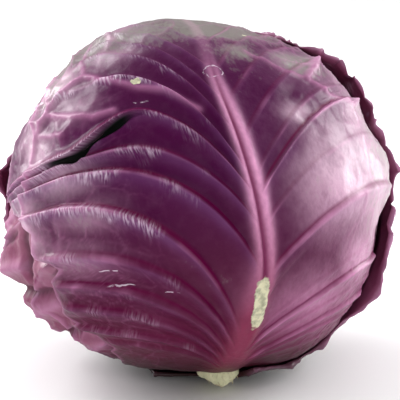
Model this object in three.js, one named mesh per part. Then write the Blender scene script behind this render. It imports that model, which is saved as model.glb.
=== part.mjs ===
// A whole red cabbage, lying with its cut stem low at the front. Four outer
// leaves wrap a dense heart; a stalk runs from the cut stub into the heart.
//
// Lengths are millimetres and angles are degrees. The origin is the middle of
// the small flat spot under the head, +Z points up, and the front is -Y.
//
// Each leaf is drawn on a flat sheet of angles laid over the head: "across"
// runs to the right of the midrib and "along" runs from the stem to the tip.
// Its rows are its side veins, which leave the midrib and arch to the margin.
import * as THREE from "three";

// Head: size, resting height and the way the stem points
const HEAD_RADIUS = 80;
const HEAD_HALF_LENGTH = 75;
const MIDDLE_HEIGHT = 76.5;
const STEM_TILT = 24;
const STEM_LEAN = 8;

// Lumps that keep the head from being a true ball: how many lobes go round
// the front-to-back axis, how far they stand out and where the first peak is
const LUMPS = [
  { lobes: 1, size: 2.7, peak: -85 },
  { lobes: 2, size: 0.9, peak: -29 },
  { lobes: 3, size: 1.4, peak: -21 },
  { lobes: 4, size: 1.2, peak: 36 },
  { lobes: 5, size: 0.5, peak: 33 },
];

// Local swells (and dents, where "high" is negative) of the whole head
const SWELLS = [
  { fromStem: 126, around: -74, wide: 15, high: -1.5 },
  { fromStem: 162, around: -59, wide: 10, high: -2 },
  { fromStem: 92, around: -87, wide: 9, high: -1.7 },
  { fromStem: 101, around: 82, wide: 10, high: -1.2 },
  { fromStem: 70, around: 88, wide: 9, high: -2.2 },
  { fromStem: 72, around: -84, wide: 13, high: 1.4 },
  { fromStem: 24, around: 113, wide: 14, high: 2.8 },
];

// Flat spot: softness of its edge, and the heights over which ribs fade in
const SPOT_SOFTNESS = 0.5;
const SPOT_RIBLESS = 0.3;
const SPOT_RIBBED = 6;

// Leaf blade
const BLADE = 0.9;
const LEAF_MIDDLE = 88;
const LEFT_ARCH = 22;
const RIGHT_ARCH = 34;
const DROOP_AT = 60;
const DROOP = 5;
const LATE_DROOP_FROM = 26;
const LATE_DROOP_TO = 54;

// Degrees over which a leaf frees itself from under its neighbours: its ribs
// start, its margin and swells rise, and the whole blade lifts
const RIBS_FREE = [1.5, 5];
const SWELLS_FREE = [1, 7];
const LIFT_FREE = [2, 14];

// Share of the way to the margin over which flares and ruffles rise
const MARGIN_ZONE = [0.84, 1];

// Depth of each leaf in the wrap, outermost first
const LEVEL_RIGHT = 2;
const LEVEL_FRONT = 0;
const LEVEL_BACK = -2;
const LEVEL_LEFT = -4.3;
const LEVEL_HEART = -7;

// Midrib from stem to tip: half width, height and the depth of the groove down
// its middle. "swing" is how far the front leaf's midrib lies to the right.
const MIDRIB = [
  { along: -81, half: 8.5, high: 2.2, groove: 0.1, swing: -1 },
  { along: -66, half: 5.6, high: 3.2, groove: 0.2, swing: -1.3 },
  { along: -52, half: 4.2, high: 3.4, groove: 0.5, swing: 0.2 },
  { along: -36, half: 3.4, high: 3.0, groove: 1.1, swing: 2.4 },
  { along: -16, half: 3.2, high: 2.6, groove: 1.3, swing: 0.7 },
  { along: 4, half: 2.8, high: 2.2, groove: 1.0, swing: -2.3 },
  { along: 24, half: 2.2, high: 1.2, groove: 0.4, swing: -4.7 },
  { along: 50, half: 2.0, high: 0.5, groove: 0, swing: -3 },
  { along: 96, half: 1.6, high: 0, groove: 0, swing: 0 },
];

// Stalk: distance from the head's middle and radius, cut end first. The cut
// slants to the front and is broken away in millimetres to the left and right.
const STUB_REACH = 81;
const STUB_CUT_SLANT = 0.3;
const CUT_LEFT_LOSS = 5;
const CUT_RIGHT_LOSS = 2.4;
const CUT_PEAK = 1.5;
const CUT_STEP = 0.8;
const STALK = [
  { reach: 78.5, radius: 8.3 },
  { reach: 75.5, radius: 8.9 },
  { reach: 72, radius: 8.4 },
  { reach: 66, radius: 7.6 },
  { reach: 54, radius: 7 },
  { reach: 40, radius: 5.4 },
  { reach: 31, radius: 3 },
];
const STUB_RADIUS = 7.5;
const STALK_TOP = 28;
const STALK_CLEARANCE = 0.5;

const DEG = Math.PI / 180;
const MIDDLE = new THREE.Vector3(0, 0, MIDDLE_HEIGHT);

// Directions of the head: towards the stem, towards the front, to the right
const STEM = new THREE.Vector3(
  Math.sin(STEM_LEAN * DEG),
  -Math.sin(STEM_TILT * DEG) * Math.cos(STEM_LEAN * DEG),
  -Math.cos(STEM_TILT * DEG) * Math.cos(STEM_LEAN * DEG),
);
const FRONT = new THREE.Vector3(0, -1, 0)
  .addScaledVector(STEM, STEM.y)
  .normalize();
const RIGHT = new THREE.Vector3().crossVectors(FRONT, STEM).normalize();

function lerp(a, b, t) {
  return a + (b - a) * t;
}

function ease(from, to, value) {
  const t = Math.min(1, Math.max(0, (value - from) / (to - from)));
  return t * t * (3 - 2 * t);
}

function softMin(a, b, softness) {
  const near = Math.max(softness - Math.abs(a - b), 0) / softness;
  return Math.min(a, b) - (near * near * softness) / 4;
}

// Value of a named column at a position between the entries of a list
function between(list, key, place, column) {
  let k = 0;
  while (k < list.length - 2 && list[k + 1][key] < place) k += 1;
  const span = list[k + 1][key] - list[k][key];
  const t = Math.min(1, Math.max(0, (place - list[k][key]) / span));
  return lerp(list[k][column], list[k + 1][column], t);
}

function polar(fromStem, around) {
  const out = Math.sin(fromStem * DEG);
  return new THREE.Vector3()
    .addScaledVector(STEM, Math.cos(fromStem * DEG))
    .addScaledVector(FRONT, out * Math.cos(around * DEG))
    .addScaledVector(RIGHT, out * Math.sin(around * DEG));
}

// Distance from the middle to the smooth head in one direction
function headRadius(way) {
  const along = way.dot(STEM);
  const out = 1 - along * along;
  const ball = 1 / Math.sqrt(
    out / HEAD_RADIUS ** 2 + along ** 2 / HEAD_HALF_LENGTH ** 2,
  );
  const turn = Math.atan2(way.z, way.x);
  const side = Math.hypot(way.x, way.z);
  let lumps = 0;
  for (const { lobes, size, peak } of LUMPS) {
    lumps += size * side ** lobes * Math.cos(lobes * (turn - peak * DEG));
  }
  for (const swell of SWELLS) {
    const away = way.angleTo(polar(swell.fromStem, swell.around)) / DEG;
    lumps += swell.high * Math.exp(-((away / swell.wide) ** 2));
  }
  const radius = ball * (1 + lumps / HEAD_RADIUS);
  const floor = MIDDLE_HEIGHT / (1 + LEVEL_RIGHT / HEAD_RADIUS);
  return softMin(radius, floor / Math.max(-way.z, 0.1), SPOT_SOFTNESS);
}

function onHead(way, height) {
  const reach = headRadius(way) * (1 + height / HEAD_RADIUS);
  return MIDDLE.clone().addScaledVector(way, reach);
}

// Front leaf: its side veins from the stem up. "start" is where the vein
// leaves the midrib; "left" and "right" give its rise, its reach to the
// margin and how strongly it stands out on that side.
const FRONT_VEINS = [
  { start: -80.6, riseL: -6, riseR: -6, reachL: 44, reachR: 40, ribL: 0, ribR: 0 },
  { start: -79.8, riseL: 14, riseR: 14, reachL: 48, reachR: 52, ribL: 0, ribR: 0 },
  { start: -78.8, riseL: 26, riseR: 26, reachL: 54, reachR: 62, ribL: 0.3, ribR: 0.2 },
  { start: -77.6, riseL: 32, riseR: 34, reachL: 66, reachR: 66, ribL: 0.8, ribR: 0.3 },
  { start: -75, riseL: 40, riseR: 38, reachL: 69, reachR: 72, ribL: 0.9, ribR: 0.7 },
  { start: -70, riseL: 45, riseR: 40, reachL: 68, reachR: 76, ribL: 1, ribR: 0.2 },
  { start: -64, riseL: 50, riseR: 42, reachL: 72, reachR: 78, ribL: 1, ribR: 0.9 },
  { start: -59, riseL: 62, riseR: 43, reachL: 79, reachR: 80, ribL: 1.1, ribR: 0.2 },
  { start: -34.5, riseL: 46, riseR: 38, reachL: 89, reachR: 82, ribL: 1.1, ribR: 1 },
  { start: -20, riseL: 38, riseR: 42, reachL: 91, reachR: 84, ribL: 0.8, ribR: 0.3, late: 2.5 },
  { start: -11.6, riseL: 44, riseR: 49, reachL: 88, reachR: 84, ribL: 0.8, ribR: 1, late: 14 },
  { start: -7, riseL: 55, riseR: 51, reachL: 86, reachR: 84, ribL: 0.9, ribR: 0.3, late: 5 },
  { start: 4, riseL: 57, riseR: 51, reachL: 86, reachR: 80, ribL: 0.5, ribR: 0.5 },
  { start: 16, riseL: 53, riseR: 50, reachL: 84, reachR: 74, ribL: 0.5, ribR: 0.4 },
  { start: 29, riseL: 46, riseR: 48, reachL: 72, reachR: 66, ribL: 0.5, ribR: 0.4 },
  { start: 43, riseL: 38, riseR: 42, reachL: 60, reachR: 56, ribL: 0.4, ribR: 0.4 },
  { start: 57, riseL: 28, riseR: 30, reachL: 50, reachR: 48, ribL: 0.3, ribR: 0.3 },
  { start: 70, riseL: 17, riseR: 18, reachL: 41, reachR: 41, ribL: 0.2, ribR: 0.2 },
  { start: 82, riseL: 4, riseR: 5, reachL: 30, reachR: 31, ribL: 0.1, ribR: 0.1 },
  { start: 92, riseL: -6, riseR: -6, reachL: 17, reachR: 18, ribL: 0, ribR: 0 },
];

// The other leaves share one outline, given by how far up the leaf a vein is
const PLAIN_VEINS = [
  { part: 0, rise: -7, reach: 0.44, rib: 0 },
  { part: 0.03, rise: 18, reach: 0.6, rib: 0.2 },
  { part: 0.08, rise: 34, reach: 0.78, rib: 0.8 },
  { part: 0.16, rise: 42, reach: 0.9, rib: 1 },
  { part: 0.26, rise: 45, reach: 0.97, rib: 1 },
  { part: 0.37, rise: 45, reach: 1, rib: 0.9 },
  { part: 0.48, rise: 43, reach: 0.98, rib: 0.8 },
  { part: 0.59, rise: 39, reach: 0.92, rib: 0.7 },
  { part: 0.7, rise: 32, reach: 0.8, rib: 0.5 },
  { part: 0.8, rise: 22, reach: 0.66, rib: 0.4 },
  { part: 0.9, rise: 9, reach: 0.48, rib: 0.2 },
  { part: 1, rise: -6, reach: 0.24, rib: 0 },
];
const LEAF_FOOT = -80.6;

function plainVeins(tip, left, right) {
  return PLAIN_VEINS.map(({ part, rise, reach, rib }) => ({
    start: lerp(LEAF_FOOT, tip, part),
    riseL: rise,
    riseR: rise,
    reachL: left * reach,
    reachR: right * reach,
    ribL: rib,
    ribR: rib,
  }));
}

// Margins row by row. "trim" cuts a margin back in degrees, so a short run of
// it makes a notch; "stand" is how high a ruffle stands off the head.
const RIGHT_TRIM = [
  { row: 0, trim: 15 }, { row: 0.5, trim: 18 }, { row: 1, trim: 22 },
  { row: 1.5, trim: 17 }, { row: 2, trim: 10 }, { row: 3, trim: 5 },
  { row: 4, trim: 9 }, { row: 4.5, trim: 12 },
  { row: 5, trim: 12 }, { row: 5.5, trim: 9 }, { row: 6, trim: 5 },
  { row: 8, trim: 4 }, { row: 11, trim: 0 },
];
const RIGHT_RUFFLE = [
  { row: 0, stand: 0 }, { row: 1, stand: 0.4 }, { row: 1.6, stand: 1.4 },
  { row: 2, stand: 4.8 }, { row: 2.6, stand: 3.6 }, { row: 3, stand: 4.4 },
  { row: 3.6, stand: 3.8 }, { row: 4, stand: 6.6 }, { row: 4.6, stand: 3.8 },
  { row: 5, stand: 2.2 }, { row: 5.6, stand: 5.2 }, { row: 6, stand: 5.2 },
  { row: 6.6, stand: 6.4 }, { row: 7, stand: 3.8 }, { row: 7.6, stand: 2.4 },
  { row: 8, stand: 1.2 }, { row: 9, stand: 1.4 }, { row: 11, stand: 0 },
];
const FRONT_NOTCHES = [
  { row: 0, trim: 0 }, { row: 1.2, trim: 0 }, { row: 1.6, trim: 6 },
  { row: 2, trim: 1 }, { row: 2.8, trim: 1 }, { row: 3.18, trim: 7 },
  { row: 3.6, trim: 1 }, { row: 5, trim: 0 }, { row: 5.6, trim: 9 },
  { row: 6, trim: 0 }, { row: 6.18, trim: 0 }, { row: 6.6, trim: 6 },
  { row: 7, trim: 0 }, { row: 19, trim: 0 },
];
const FRONT_RUFFLE = [
  { row: 0, stand: 0 }, { row: 1.6, stand: 0.8 }, { row: 2, stand: -1 },
  { row: 3.18, stand: 0.8 }, { row: 4, stand: -1.2 }, { row: 5, stand: -1.2 },
  { row: 5.6, stand: 1 }, { row: 6, stand: -0.8 }, { row: 6.6, stand: 0.8 },
  { row: 7, stand: -0.6 }, { row: 8, stand: 0.3 }, { row: 9, stand: 1 },
  { row: 10, stand: 1.6 }, { row: 12, stand: 1 }, { row: 19, stand: 0 },
];
const BACK_TRIM = [
  { row: 0, trim: 12 }, { row: 1, trim: 16 }, { row: 2, trim: 18 },
  { row: 3, trim: 14 }, { row: 4, trim: 8 }, { row: 5, trim: 0 },
  { row: 11, trim: 0 },
];
const BACK_TIP = [
  { row: 0, stand: 0 }, { row: 4, stand: 0.6 }, { row: 4.6, stand: 2 },
  { row: 5, stand: 6 }, { row: 5.6, stand: 2.4 }, { row: 6, stand: 0.6 },
  { row: 11, stand: 0 },
];

// What a leaf has where its own settings say nothing
const PLAIN_LEAF = {
  bend: 0,
  lift: 0,
  flareL: 0,
  flareR: 0,
  frillL: 0,
  frillR: 0,
  frillCount: 1,
  bumps: [],
};

// A leaf's own frame on the head
function makeLeaf(settings) {
  const middle = polar(LEAF_MIDDLE, settings.around);
  const tipward = polar(LEAF_MIDDLE + 90, settings.around);
  const rightward = polar(90, settings.around + 90);
  const veins = settings.veins.map((vein, row) => ({ late: 0, ...vein, row }));
  return { ...PLAIN_LEAF, ...settings, middle, tipward, rightward, veins };
}

// The leaves, outermost first. "flare" lifts a margin off the head and
// "frill" waves it evenly; "bumps" swell or sink the whole blade. The fold
// rolls the blade over a groove along one side vein.
const LEAVES = [
  makeLeaf({
    name: "leaf_right",
    around: 155,
    level: LEVEL_RIGHT,
    veins: plainVeins(82, 73, 74),
    ribHeight: 1.5,
    flareR: 1,
    frillR: 0.8,
    frillCount: 1.15,
    trimL: RIGHT_TRIM,
    ruffleL: RIGHT_RUFFLE,
    color: 0x7a3358,
  }),
  makeLeaf({
    name: "leaf_front",
    around: 20,
    level: LEVEL_FRONT,
    bend: 1,
    veins: FRONT_VEINS,
    ribHeight: 1.9,
    trimL: FRONT_NOTCHES,
    ruffleL: FRONT_RUFFLE,
    color: 0x8a4070,
    bumps: [
      { across: -56, along: 27, wide: 20, tall: 12, high: 2.2 },
      { across: -12, along: -8, wide: 7, tall: 24, high: -1.6 },
      { across: -38, along: -8, wide: 24, tall: 22, high: 0.8 },
      { across: 32, along: -6, wide: 20, tall: 22, high: 0.8 },
      { across: 40, along: 36, wide: 8, tall: 10, high: 1.4 },
      { across: 66, along: 0, wide: 14, tall: 16, high: 3.4 },
    ],
    fold: { row: 10, from: -25, to: -69, high: 4.2, deep: 1.3 },
  }),
  makeLeaf({
    name: "leaf_back",
    around: -160,
    level: LEVEL_BACK,
    lift: 1.4,
    veins: plainVeins(98, 74, 80),
    ribHeight: 1.5,
    flareL: 0.6,
    frillL: 0.6,
    frillCount: 0.9,
    trimR: BACK_TRIM,
    ruffleR: BACK_TIP,
    color: 0x6f3050,
  }),
  makeLeaf({
    name: "leaf_left",
    around: -112,
    level: LEVEL_LEFT,
    lift: 2.4,
    veins: plainVeins(96, 74, 76),
    ribHeight: 2.2,
    flareL: 0.3,
    frillL: 0.3,
    frillCount: 0.9,
    color: 0xb06f90,
    bumps: [
      { across: 27, along: -11.5, wide: 10, tall: 8, high: 3.7 },
      { across: 24, along: -27, wide: 10, tall: 5, high: 2 },
      { across: 16, along: -47, wide: 10, tall: 8, high: 1.2 },
    ],
  }),
];

function directionOn(leaf, across, along) {
  const away = Math.hypot(across, along) * DEG;
  const bearing = Math.atan2(across, along);
  return new THREE.Vector3()
    .addScaledVector(leaf.middle, Math.cos(away))
    .addScaledVector(leaf.tipward, Math.sin(away) * Math.cos(bearing))
    .addScaledVector(leaf.rightward, Math.sin(away) * Math.sin(bearing));
}

// Slope of a smooth curve through a table, at one of its entries
function slopeAt(list, key, k, column) {
  const from = Math.max(0, k - 1);
  const to = Math.min(list.length - 1, k + 1);
  const side = (i) => (list[i + 1][column] - list[i][column]) / (list[i + 1][key] - list[i][key]);
  if (from === k || to === k) return side(from);
  const before = list[k][key] - list[from][key];
  const after = list[to][key] - list[k][key];
  return (side(from) * after + side(k) * before) / (before + after);
}

// How far the midrib swings to the right, on a smooth curve through its table
function midribBend(leaf, along) {
  if (!leaf.bend) return 0;
  const place = Math.min(96, Math.max(-81, along));
  let k = 0;
  while (k < MIDRIB.length - 2 && MIDRIB[k + 1].along < place) k += 1;
  const span = MIDRIB[k + 1].along - MIDRIB[k].along;
  const t = (place - MIDRIB[k].along) / span;
  const first = slopeAt(MIDRIB, "along", k, "swing") * span;
  const last = slopeAt(MIDRIB, "along", k + 1, "swing") * span;
  return leaf.bend * (
    (2 * t ** 3 - 3 * t ** 2 + 1) * MIDRIB[k].swing
    + (t ** 3 - 2 * t ** 2 + t) * first
    + (3 * t ** 2 - 2 * t ** 3) * MIDRIB[k + 1].swing
    + (t ** 3 - t ** 2) * last
  );
}

// Point of a leaf's sheet of angles: a row and a distance from the midrib
function sheetPoint(leaf, row, off) {
  const start = between(leaf.veins, "row", row, "start");
  const left = off < 0;
  const rise = between(leaf.veins, "row", row, left ? "riseL" : "riseR");
  const late = left ? between(leaf.veins, "row", row, "late") : 0;
  const far = Math.abs(off);
  const arch = 1 - Math.exp(-far / (left ? LEFT_ARCH : RIGHT_ARCH));
  const along = start + rise * arch - DROOP * (far / DROOP_AT) ** 2
    - late * ease(LATE_DROOP_FROM, LATE_DROOP_TO, far);
  return { across: off + midribBend(leaf, start), along };
}

// Value of a margin table at a row, or nothing where a leaf has no table
function onMargin(table, row, column) {
  return table ? between(table, "row", row, column) : 0;
}

function reachAt(leaf, row, left) {
  const plain = between(leaf.veins, "row", row, left ? "reachL" : "reachR");
  const wave = Math.sin(row * 4.1 + leaf.around) + 0.6 * Math.sin(row * 7.7);
  return plain * (1 + 0.012 * wave) - onMargin(left ? leaf.trimL : leaf.trimR, row, "trim");
}

// How far a direction lies inside a leaf's margin, in degrees
function depthInside(leaf, way) {
  const away = Math.acos(Math.min(1, Math.max(-1, way.dot(leaf.middle)))) / DEG;
  const bearing = Math.atan2(way.dot(leaf.rightward), way.dot(leaf.tipward));
  const across = away * Math.sin(bearing);
  const along = away * Math.cos(bearing);
  const last = leaf.veins.length - 1;
  let low = 0;
  let high = last;
  for (let k = 0; k < 24; k += 1) {
    const row = (low + high) / 2;
    const start = between(leaf.veins, "row", row, "start");
    const point = sheetPoint(leaf, row, across - midribBend(leaf, start));
    if (point.along < along) low = row;
    else high = row;
  }
  const start = between(leaf.veins, "row", low, "start");
  const off = across - midribBend(leaf, start);
  const foot = along - sheetPoint(leaf, 0, off).along;
  const tip = sheetPoint(leaf, last, off).along - along;
  return Math.min(reachAt(leaf, low, off < 0) - Math.abs(off), foot, tip);
}

// How far a direction lies outside every leaf that covers this one
function clearance(leaf, way) {
  let least = 90;
  for (const other of LEAVES) {
    if (other === leaf) break;
    least = Math.min(least, -depthInside(other, way));
  }
  return least;
}

// Ribs fade out where the head comes down to the flat spot
function spotFade(way) {
  const floor = MIDDLE_HEIGHT / (1 + LEVEL_RIGHT / HEAD_RADIUS);
  return ease(SPOT_RIBLESS, SPOT_RIBBED, floor + headRadius(way) * way.z);
}

// Height of the whole blade: its level, swells and its lifted, frilled margin
function bladeHeight(leaf, row, off, point, open) {
  const bare = ease(...SWELLS_FREE, open);
  let height = leaf.level + leaf.lift * ease(...LIFT_FREE, open);
  for (const bump of leaf.bumps) {
    const a = (point.across - bump.across) / bump.wide;
    const b = (point.along - bump.along) / bump.tall;
    height += bump.high * bare * Math.exp(-a * a - b * b);
  }
  const left = off < 0;
  const reach = reachAt(leaf, row, left);
  const edge = ease(...MARGIN_ZONE, Math.abs(off) / reach);
  const ends = ease(0.2, 2.5, row) * ease(0, 2, leaf.veins.length - 1 - row);
  const flare = left ? leaf.flareL : leaf.flareR;
  const frill = left ? leaf.frillL : leaf.frillR;
  const wave = Math.sin(row * leaf.frillCount * 2 * Math.PI + leaf.around);
  const ruffle = onMargin(left ? leaf.ruffleL : leaf.ruffleR, row, "stand");
  height += (flare + frill * wave + ruffle) * edge * edge * ends * bare;
  return height;
}

// How strongly the fold shows at a distance from the midrib
function foldLens(leaf, off) {
  if (!leaf.fold || off >= 0) return 0;
  const { from, to } = leaf.fold;
  const middle = (from + to) / 2;
  return ease(from, middle, off) * ease(to, middle, off);
}

// Share of the fold's groove, which the whole blade dips into
function foldGroove(leaf, row, off) {
  if (!leaf.fold || row >= leaf.fold.row) return 0;
  return foldLens(leaf, off) * (1 - ease(0.1, 0.4, leaf.fold.row - row));
}

// Ribs on the outer face: the midrib, the side veins and the lip of a fold
function ribHeight(leaf, row, off, open, fade) {
  const start = between(leaf.veins, "row", row, "start");
  const half = between(MIDRIB, "along", start, "half");
  const high = between(MIDRIB, "along", start, "high");
  const groove = between(MIDRIB, "along", start, "groove");
  const far = Math.abs(off) / half;
  const crest = Math.exp(-(far ** 3) * 0.9);
  const midrib = high * crest - groove * Math.exp(-((far / 0.3) ** 2));

  const left = off < 0;
  const below = Math.floor(row + 1e-6);
  const past = Math.max(0, row - below);
  const above = Math.min(below + 1, leaf.veins.length - 1);
  const ribBelow = leaf.veins[below][left ? "ribL" : "ribR"];
  const ribAbove = leaf.veins[above][left ? "ribL" : "ribR"];
  const fall = ribBelow * (1 - ease(0, 0.18, past));
  const climb = ribAbove * ease(0.18, 1, past) ** 1.3;
  const reach = reachAt(leaf, row, left);
  const spread = ease(0.3, 1.4, far) * ease(1.02, 0.9, Math.abs(off) / reach);
  let ribs = leaf.ribHeight * (fall + climb) * spread;

  if (leaf.fold && row >= leaf.fold.row) {
    ribs += leaf.fold.high * foldLens(leaf, off) * (1 - ease(0, 0.9, row - leaf.fold.row));
  }
  ribs *= 1 - foldGroove(leaf, row, off);
  return (midrib + ribs) * ease(...RIBS_FREE, open) * fade;
}

// Positions of the rows: every vein, the groove above it and the slope beyond
function rowPlaces(leaf) {
  const places = [];
  leaf.veins.forEach((vein, row) => {
    places.push(row);
    if (row === leaf.veins.length - 1) return;
    places.push(row + (row < 2 ? 0.4 : 0.18), row + 0.6);
    if (leaf.fold && row === leaf.fold.row - 1) places.push(row + 0.9);
  });
  return places;
}

// Distances from the midrib: a few fixed steps over the rib, then even ones
const RIB_STEPS = [0, 1.4, 3, 5.5];
const SIDE_STEPS = [0.14, 0.29, 0.44, 0.58, 0.71, 0.83, 0.92, 1];

function offsets(reach) {
  const last = RIB_STEPS[RIB_STEPS.length - 1];
  const far = SIDE_STEPS.map((step) => lerp(last, reach, step));
  return [...RIB_STEPS, ...far];
}

// A closed blade from two faces that share one pattern of triangles
function leafGeometry(leaf) {
  const outer = [];
  const inner = [];
  for (const row of rowPlaces(leaf)) {
    const left = offsets(reachAt(leaf, row, true)).map((off) => -off).reverse();
    const right = offsets(reachAt(leaf, row, false)).slice(1);
    const outerRow = [];
    const innerRow = [];
    for (const off of [...left, ...right]) {
      const point = sheetPoint(leaf, row, off);
      const way = directionOn(leaf, point.across, point.along);
      const open = clearance(leaf, way);
      const dip = leaf.fold ? leaf.fold.deep * foldGroove(leaf, row, off) : 0;
      const blade = bladeHeight(leaf, row, off, point, open) - dip;
      const ribs = ribHeight(leaf, row, off, open, spotFade(way));
      outerRow.push(onHead(way, blade + ribs));
      innerRow.push(onHead(way, blade - BLADE));
    }
    outer.push(outerRow);
    inner.push(innerRow);
  }
  return closedSheet(outer, inner);
}

function closedSheet(outer, inner) {
  const rows = outer.length;
  const columns = outer[0].length;
  const points = [...outer.flat(), ...inner.flat()];
  const faces = [];
  const out = (i, j) => i * columns + j;
  const inn = (i, j) => rows * columns + i * columns + j;
  const quad = (a, b, c, d) => faces.push([a, b, c], [a, c, d]);
  for (let i = 0; i < rows - 1; i += 1) {
    for (let j = 0; j < columns - 1; j += 1) {
      quad(out(i, j), out(i, j + 1), out(i + 1, j + 1), out(i + 1, j));
      quad(inn(i, j), inn(i + 1, j), inn(i + 1, j + 1), inn(i, j + 1));
    }
    quad(out(i, 0), out(i + 1, 0), inn(i + 1, 0), inn(i, 0));
    const end = columns - 1;
    quad(out(i + 1, end), out(i, end), inn(i, end), inn(i + 1, end));
  }
  for (let j = 0; j < columns - 1; j += 1) {
    quad(out(0, j + 1), out(0, j), inn(0, j), inn(0, j + 1));
    const top = rows - 1;
    quad(out(top, j), out(top, j + 1), inn(top, j + 1), inn(top, j));
  }
  return geometryOf(points, faces);
}

// Triangles with outward faces, turned over when they come out inside out
function geometryOf(points, faces) {
  let volume = 0;
  const cross = new THREE.Vector3();
  for (const [a, b, c] of faces) {
    volume += points[a].dot(cross.crossVectors(points[b], points[c])) / 6;
  }
  const index = faces.flatMap(([a, b, c]) => (volume < 0 ? [a, c, b] : [a, b, c]));
  const geometry = new THREE.BufferGeometry();
  const flat = points.flatMap((point) => [point.x, point.y, point.z]);
  geometry.setAttribute("position", new THREE.Float32BufferAttribute(flat, 3));
  geometry.setIndex(index);
  geometry.computeVertexNormals();
  return geometry;
}

// A closed body from rings of points, with a point at each end
function ringBody(rings, firstPoint, lastPoint) {
  const count = rings[0].length;
  const points = [...rings.flat(), firstPoint, lastPoint];
  const faces = [];
  const first = points.length - 2;
  const last = points.length - 1;
  for (let k = 0; k < count; k += 1) {
    const next = (k + 1) % count;
    faces.push([first, next, k]);
    for (let r = 0; r < rings.length - 1; r += 1) {
      const a = r * count + k;
      const b = r * count + next;
      faces.push([a, b, b + count], [a, b + count, a + count]);
    }
    const base = (rings.length - 1) * count;
    faces.push([base + k, base + next, last]);
  }
  return geometryOf(points, faces);
}

// Stalk: the cut stub outside the leaves and the core inside the heart
const STALK_SIDES = 24;

function besideAxis(reach, radius, around) {
  return MIDDLE.clone()
    .addScaledVector(STEM, reach)
    .addScaledVector(FRONT, radius * Math.cos(around))
    .addScaledVector(RIGHT, radius * Math.sin(around));
}

// How far out the cut lies, beside the stem's axis by so much
function cutReach(right, front) {
  const left = Math.max(0, (CUT_PEAK - right) / (STUB_RADIUS + CUT_PEAK));
  const past = Math.max(0, (right - CUT_PEAK) / (STUB_RADIUS - CUT_PEAK));
  return STUB_REACH + STUB_CUT_SLANT * front
    - CUT_LEFT_LOSS * left ** 1.2 - CUT_RIGHT_LOSS * past ** 1.5;
}

function stalkGeometry() {
  const rings = [{ reach: STUB_REACH, radius: STUB_RADIUS }, ...STALK].map((level, r) => {
    const ring = [];
    for (let k = 0; k < STALK_SIDES; k += 1) {
      const around = (k / STALK_SIDES) * 2 * Math.PI;
      const wavy = level.radius * (1 + 0.03 * Math.sin(around * 3 + 1));
      const rim = cutReach(STUB_RADIUS * Math.sin(around), STUB_RADIUS * Math.cos(around));
      const reach = r === 0 ? rim : Math.min(level.reach, rim - r * CUT_STEP);
      ring.push(besideAxis(reach, wavy, around));
    }
    return ring;
  });
  const cut = besideAxis(cutReach(0, 0), 0, 0);
  const top = besideAxis(STALK_TOP, 0, 0);
  return ringBody(rings, cut, top);
}

// Heart: the dense inner head, with a well for the stalk
const HEART_SIDES = 36;
const HEART_RINGS = 20;
const WELL_EDGE = 7.5;
const HEART_FOLDS = 5;
const FOLD_HEIGHT = 0.8;

function heartGeometry() {
  const rings = [];
  for (const { reach, radius } of [...STALK].reverse()) {
    if (reach > HEAD_HALF_LENGTH + LEVEL_HEART - 5) continue;
    const ring = [];
    for (let k = 0; k < HEART_SIDES; k += 1) {
      const around = (k / HEART_SIDES) * 2 * Math.PI;
      ring.push(besideAxis(reach, radius * 1.04 + STALK_CLEARANCE, around));
    }
    rings.push(ring);
  }
  for (let r = 0; r < HEART_RINGS; r += 1) {
    const fromStem = lerp(WELL_EDGE, 176, (r / (HEART_RINGS - 1)) ** 0.9);
    const ring = [];
    for (let k = 0; k < HEART_SIDES; k += 1) {
      const turn = (k / HEART_SIDES) * 360;
      const way = polar(fromStem, turn);
      const swirl = (turn / 360) * HEART_FOLDS + fromStem / 150;
      const fold = FOLD_HEIGHT * (swirl - Math.floor(swirl));
      ring.push(onHead(way, LEVEL_HEART - fold * ease(WELL_EDGE, 40, fromStem)));
    }
    rings.push(ring);
  }
  const well = besideAxis(STALK_TOP - STALK_CLEARANCE - 1, 0, 0);
  const crown = onHead(polar(180, 0), LEVEL_HEART - FOLD_HEIGHT);
  return ringBody(rings, well, crown);
}

function piece(name, geometry, color) {
  const material = new THREE.MeshStandardMaterial({ color, roughness: 0.5 });
  const mesh = new THREE.Mesh(geometry, material);
  mesh.name = name;
  return mesh;
}

const cabbage = new THREE.Group();
cabbage.name = "red_cabbage";
cabbage.add(piece("stalk", stalkGeometry(), 0xb9bd96));
cabbage.add(piece("heart", heartGeometry(), 0x8c4a78));
for (const leaf of LEAVES) {
  cabbage.add(piece(leaf.name, leafGeometry(leaf), leaf.color));
}

export default cabbage;
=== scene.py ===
"""A red cabbage on a pale studio floor, laid out as a Blender add-on.

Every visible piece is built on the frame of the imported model. Sizes inside the
leaf functions are millimetres and degrees, as in the part's source; meshes are
written in metres.
"""

import math

import bpy
import numpy as np
from bpy.props import FloatProperty, FloatVectorProperty, IntProperty, PointerProperty
from mathutils import Matrix, Vector


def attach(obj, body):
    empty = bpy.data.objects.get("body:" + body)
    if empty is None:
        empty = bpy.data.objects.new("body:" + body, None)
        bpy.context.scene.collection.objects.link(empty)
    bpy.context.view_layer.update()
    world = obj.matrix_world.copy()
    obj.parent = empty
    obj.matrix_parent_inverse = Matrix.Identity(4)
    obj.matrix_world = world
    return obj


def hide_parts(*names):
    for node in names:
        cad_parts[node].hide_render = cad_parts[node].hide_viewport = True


bl_info = {
    "name": "Red Cabbage",
    "version": (1, 0, 0),
    "blender": (4, 5, 0),
    "location": "3D View > Sidebar > Cabbage",
    "description": "Builds a red cabbage head with ribbed, frilled leaves",
    "category": "Add Mesh",
}

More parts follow.
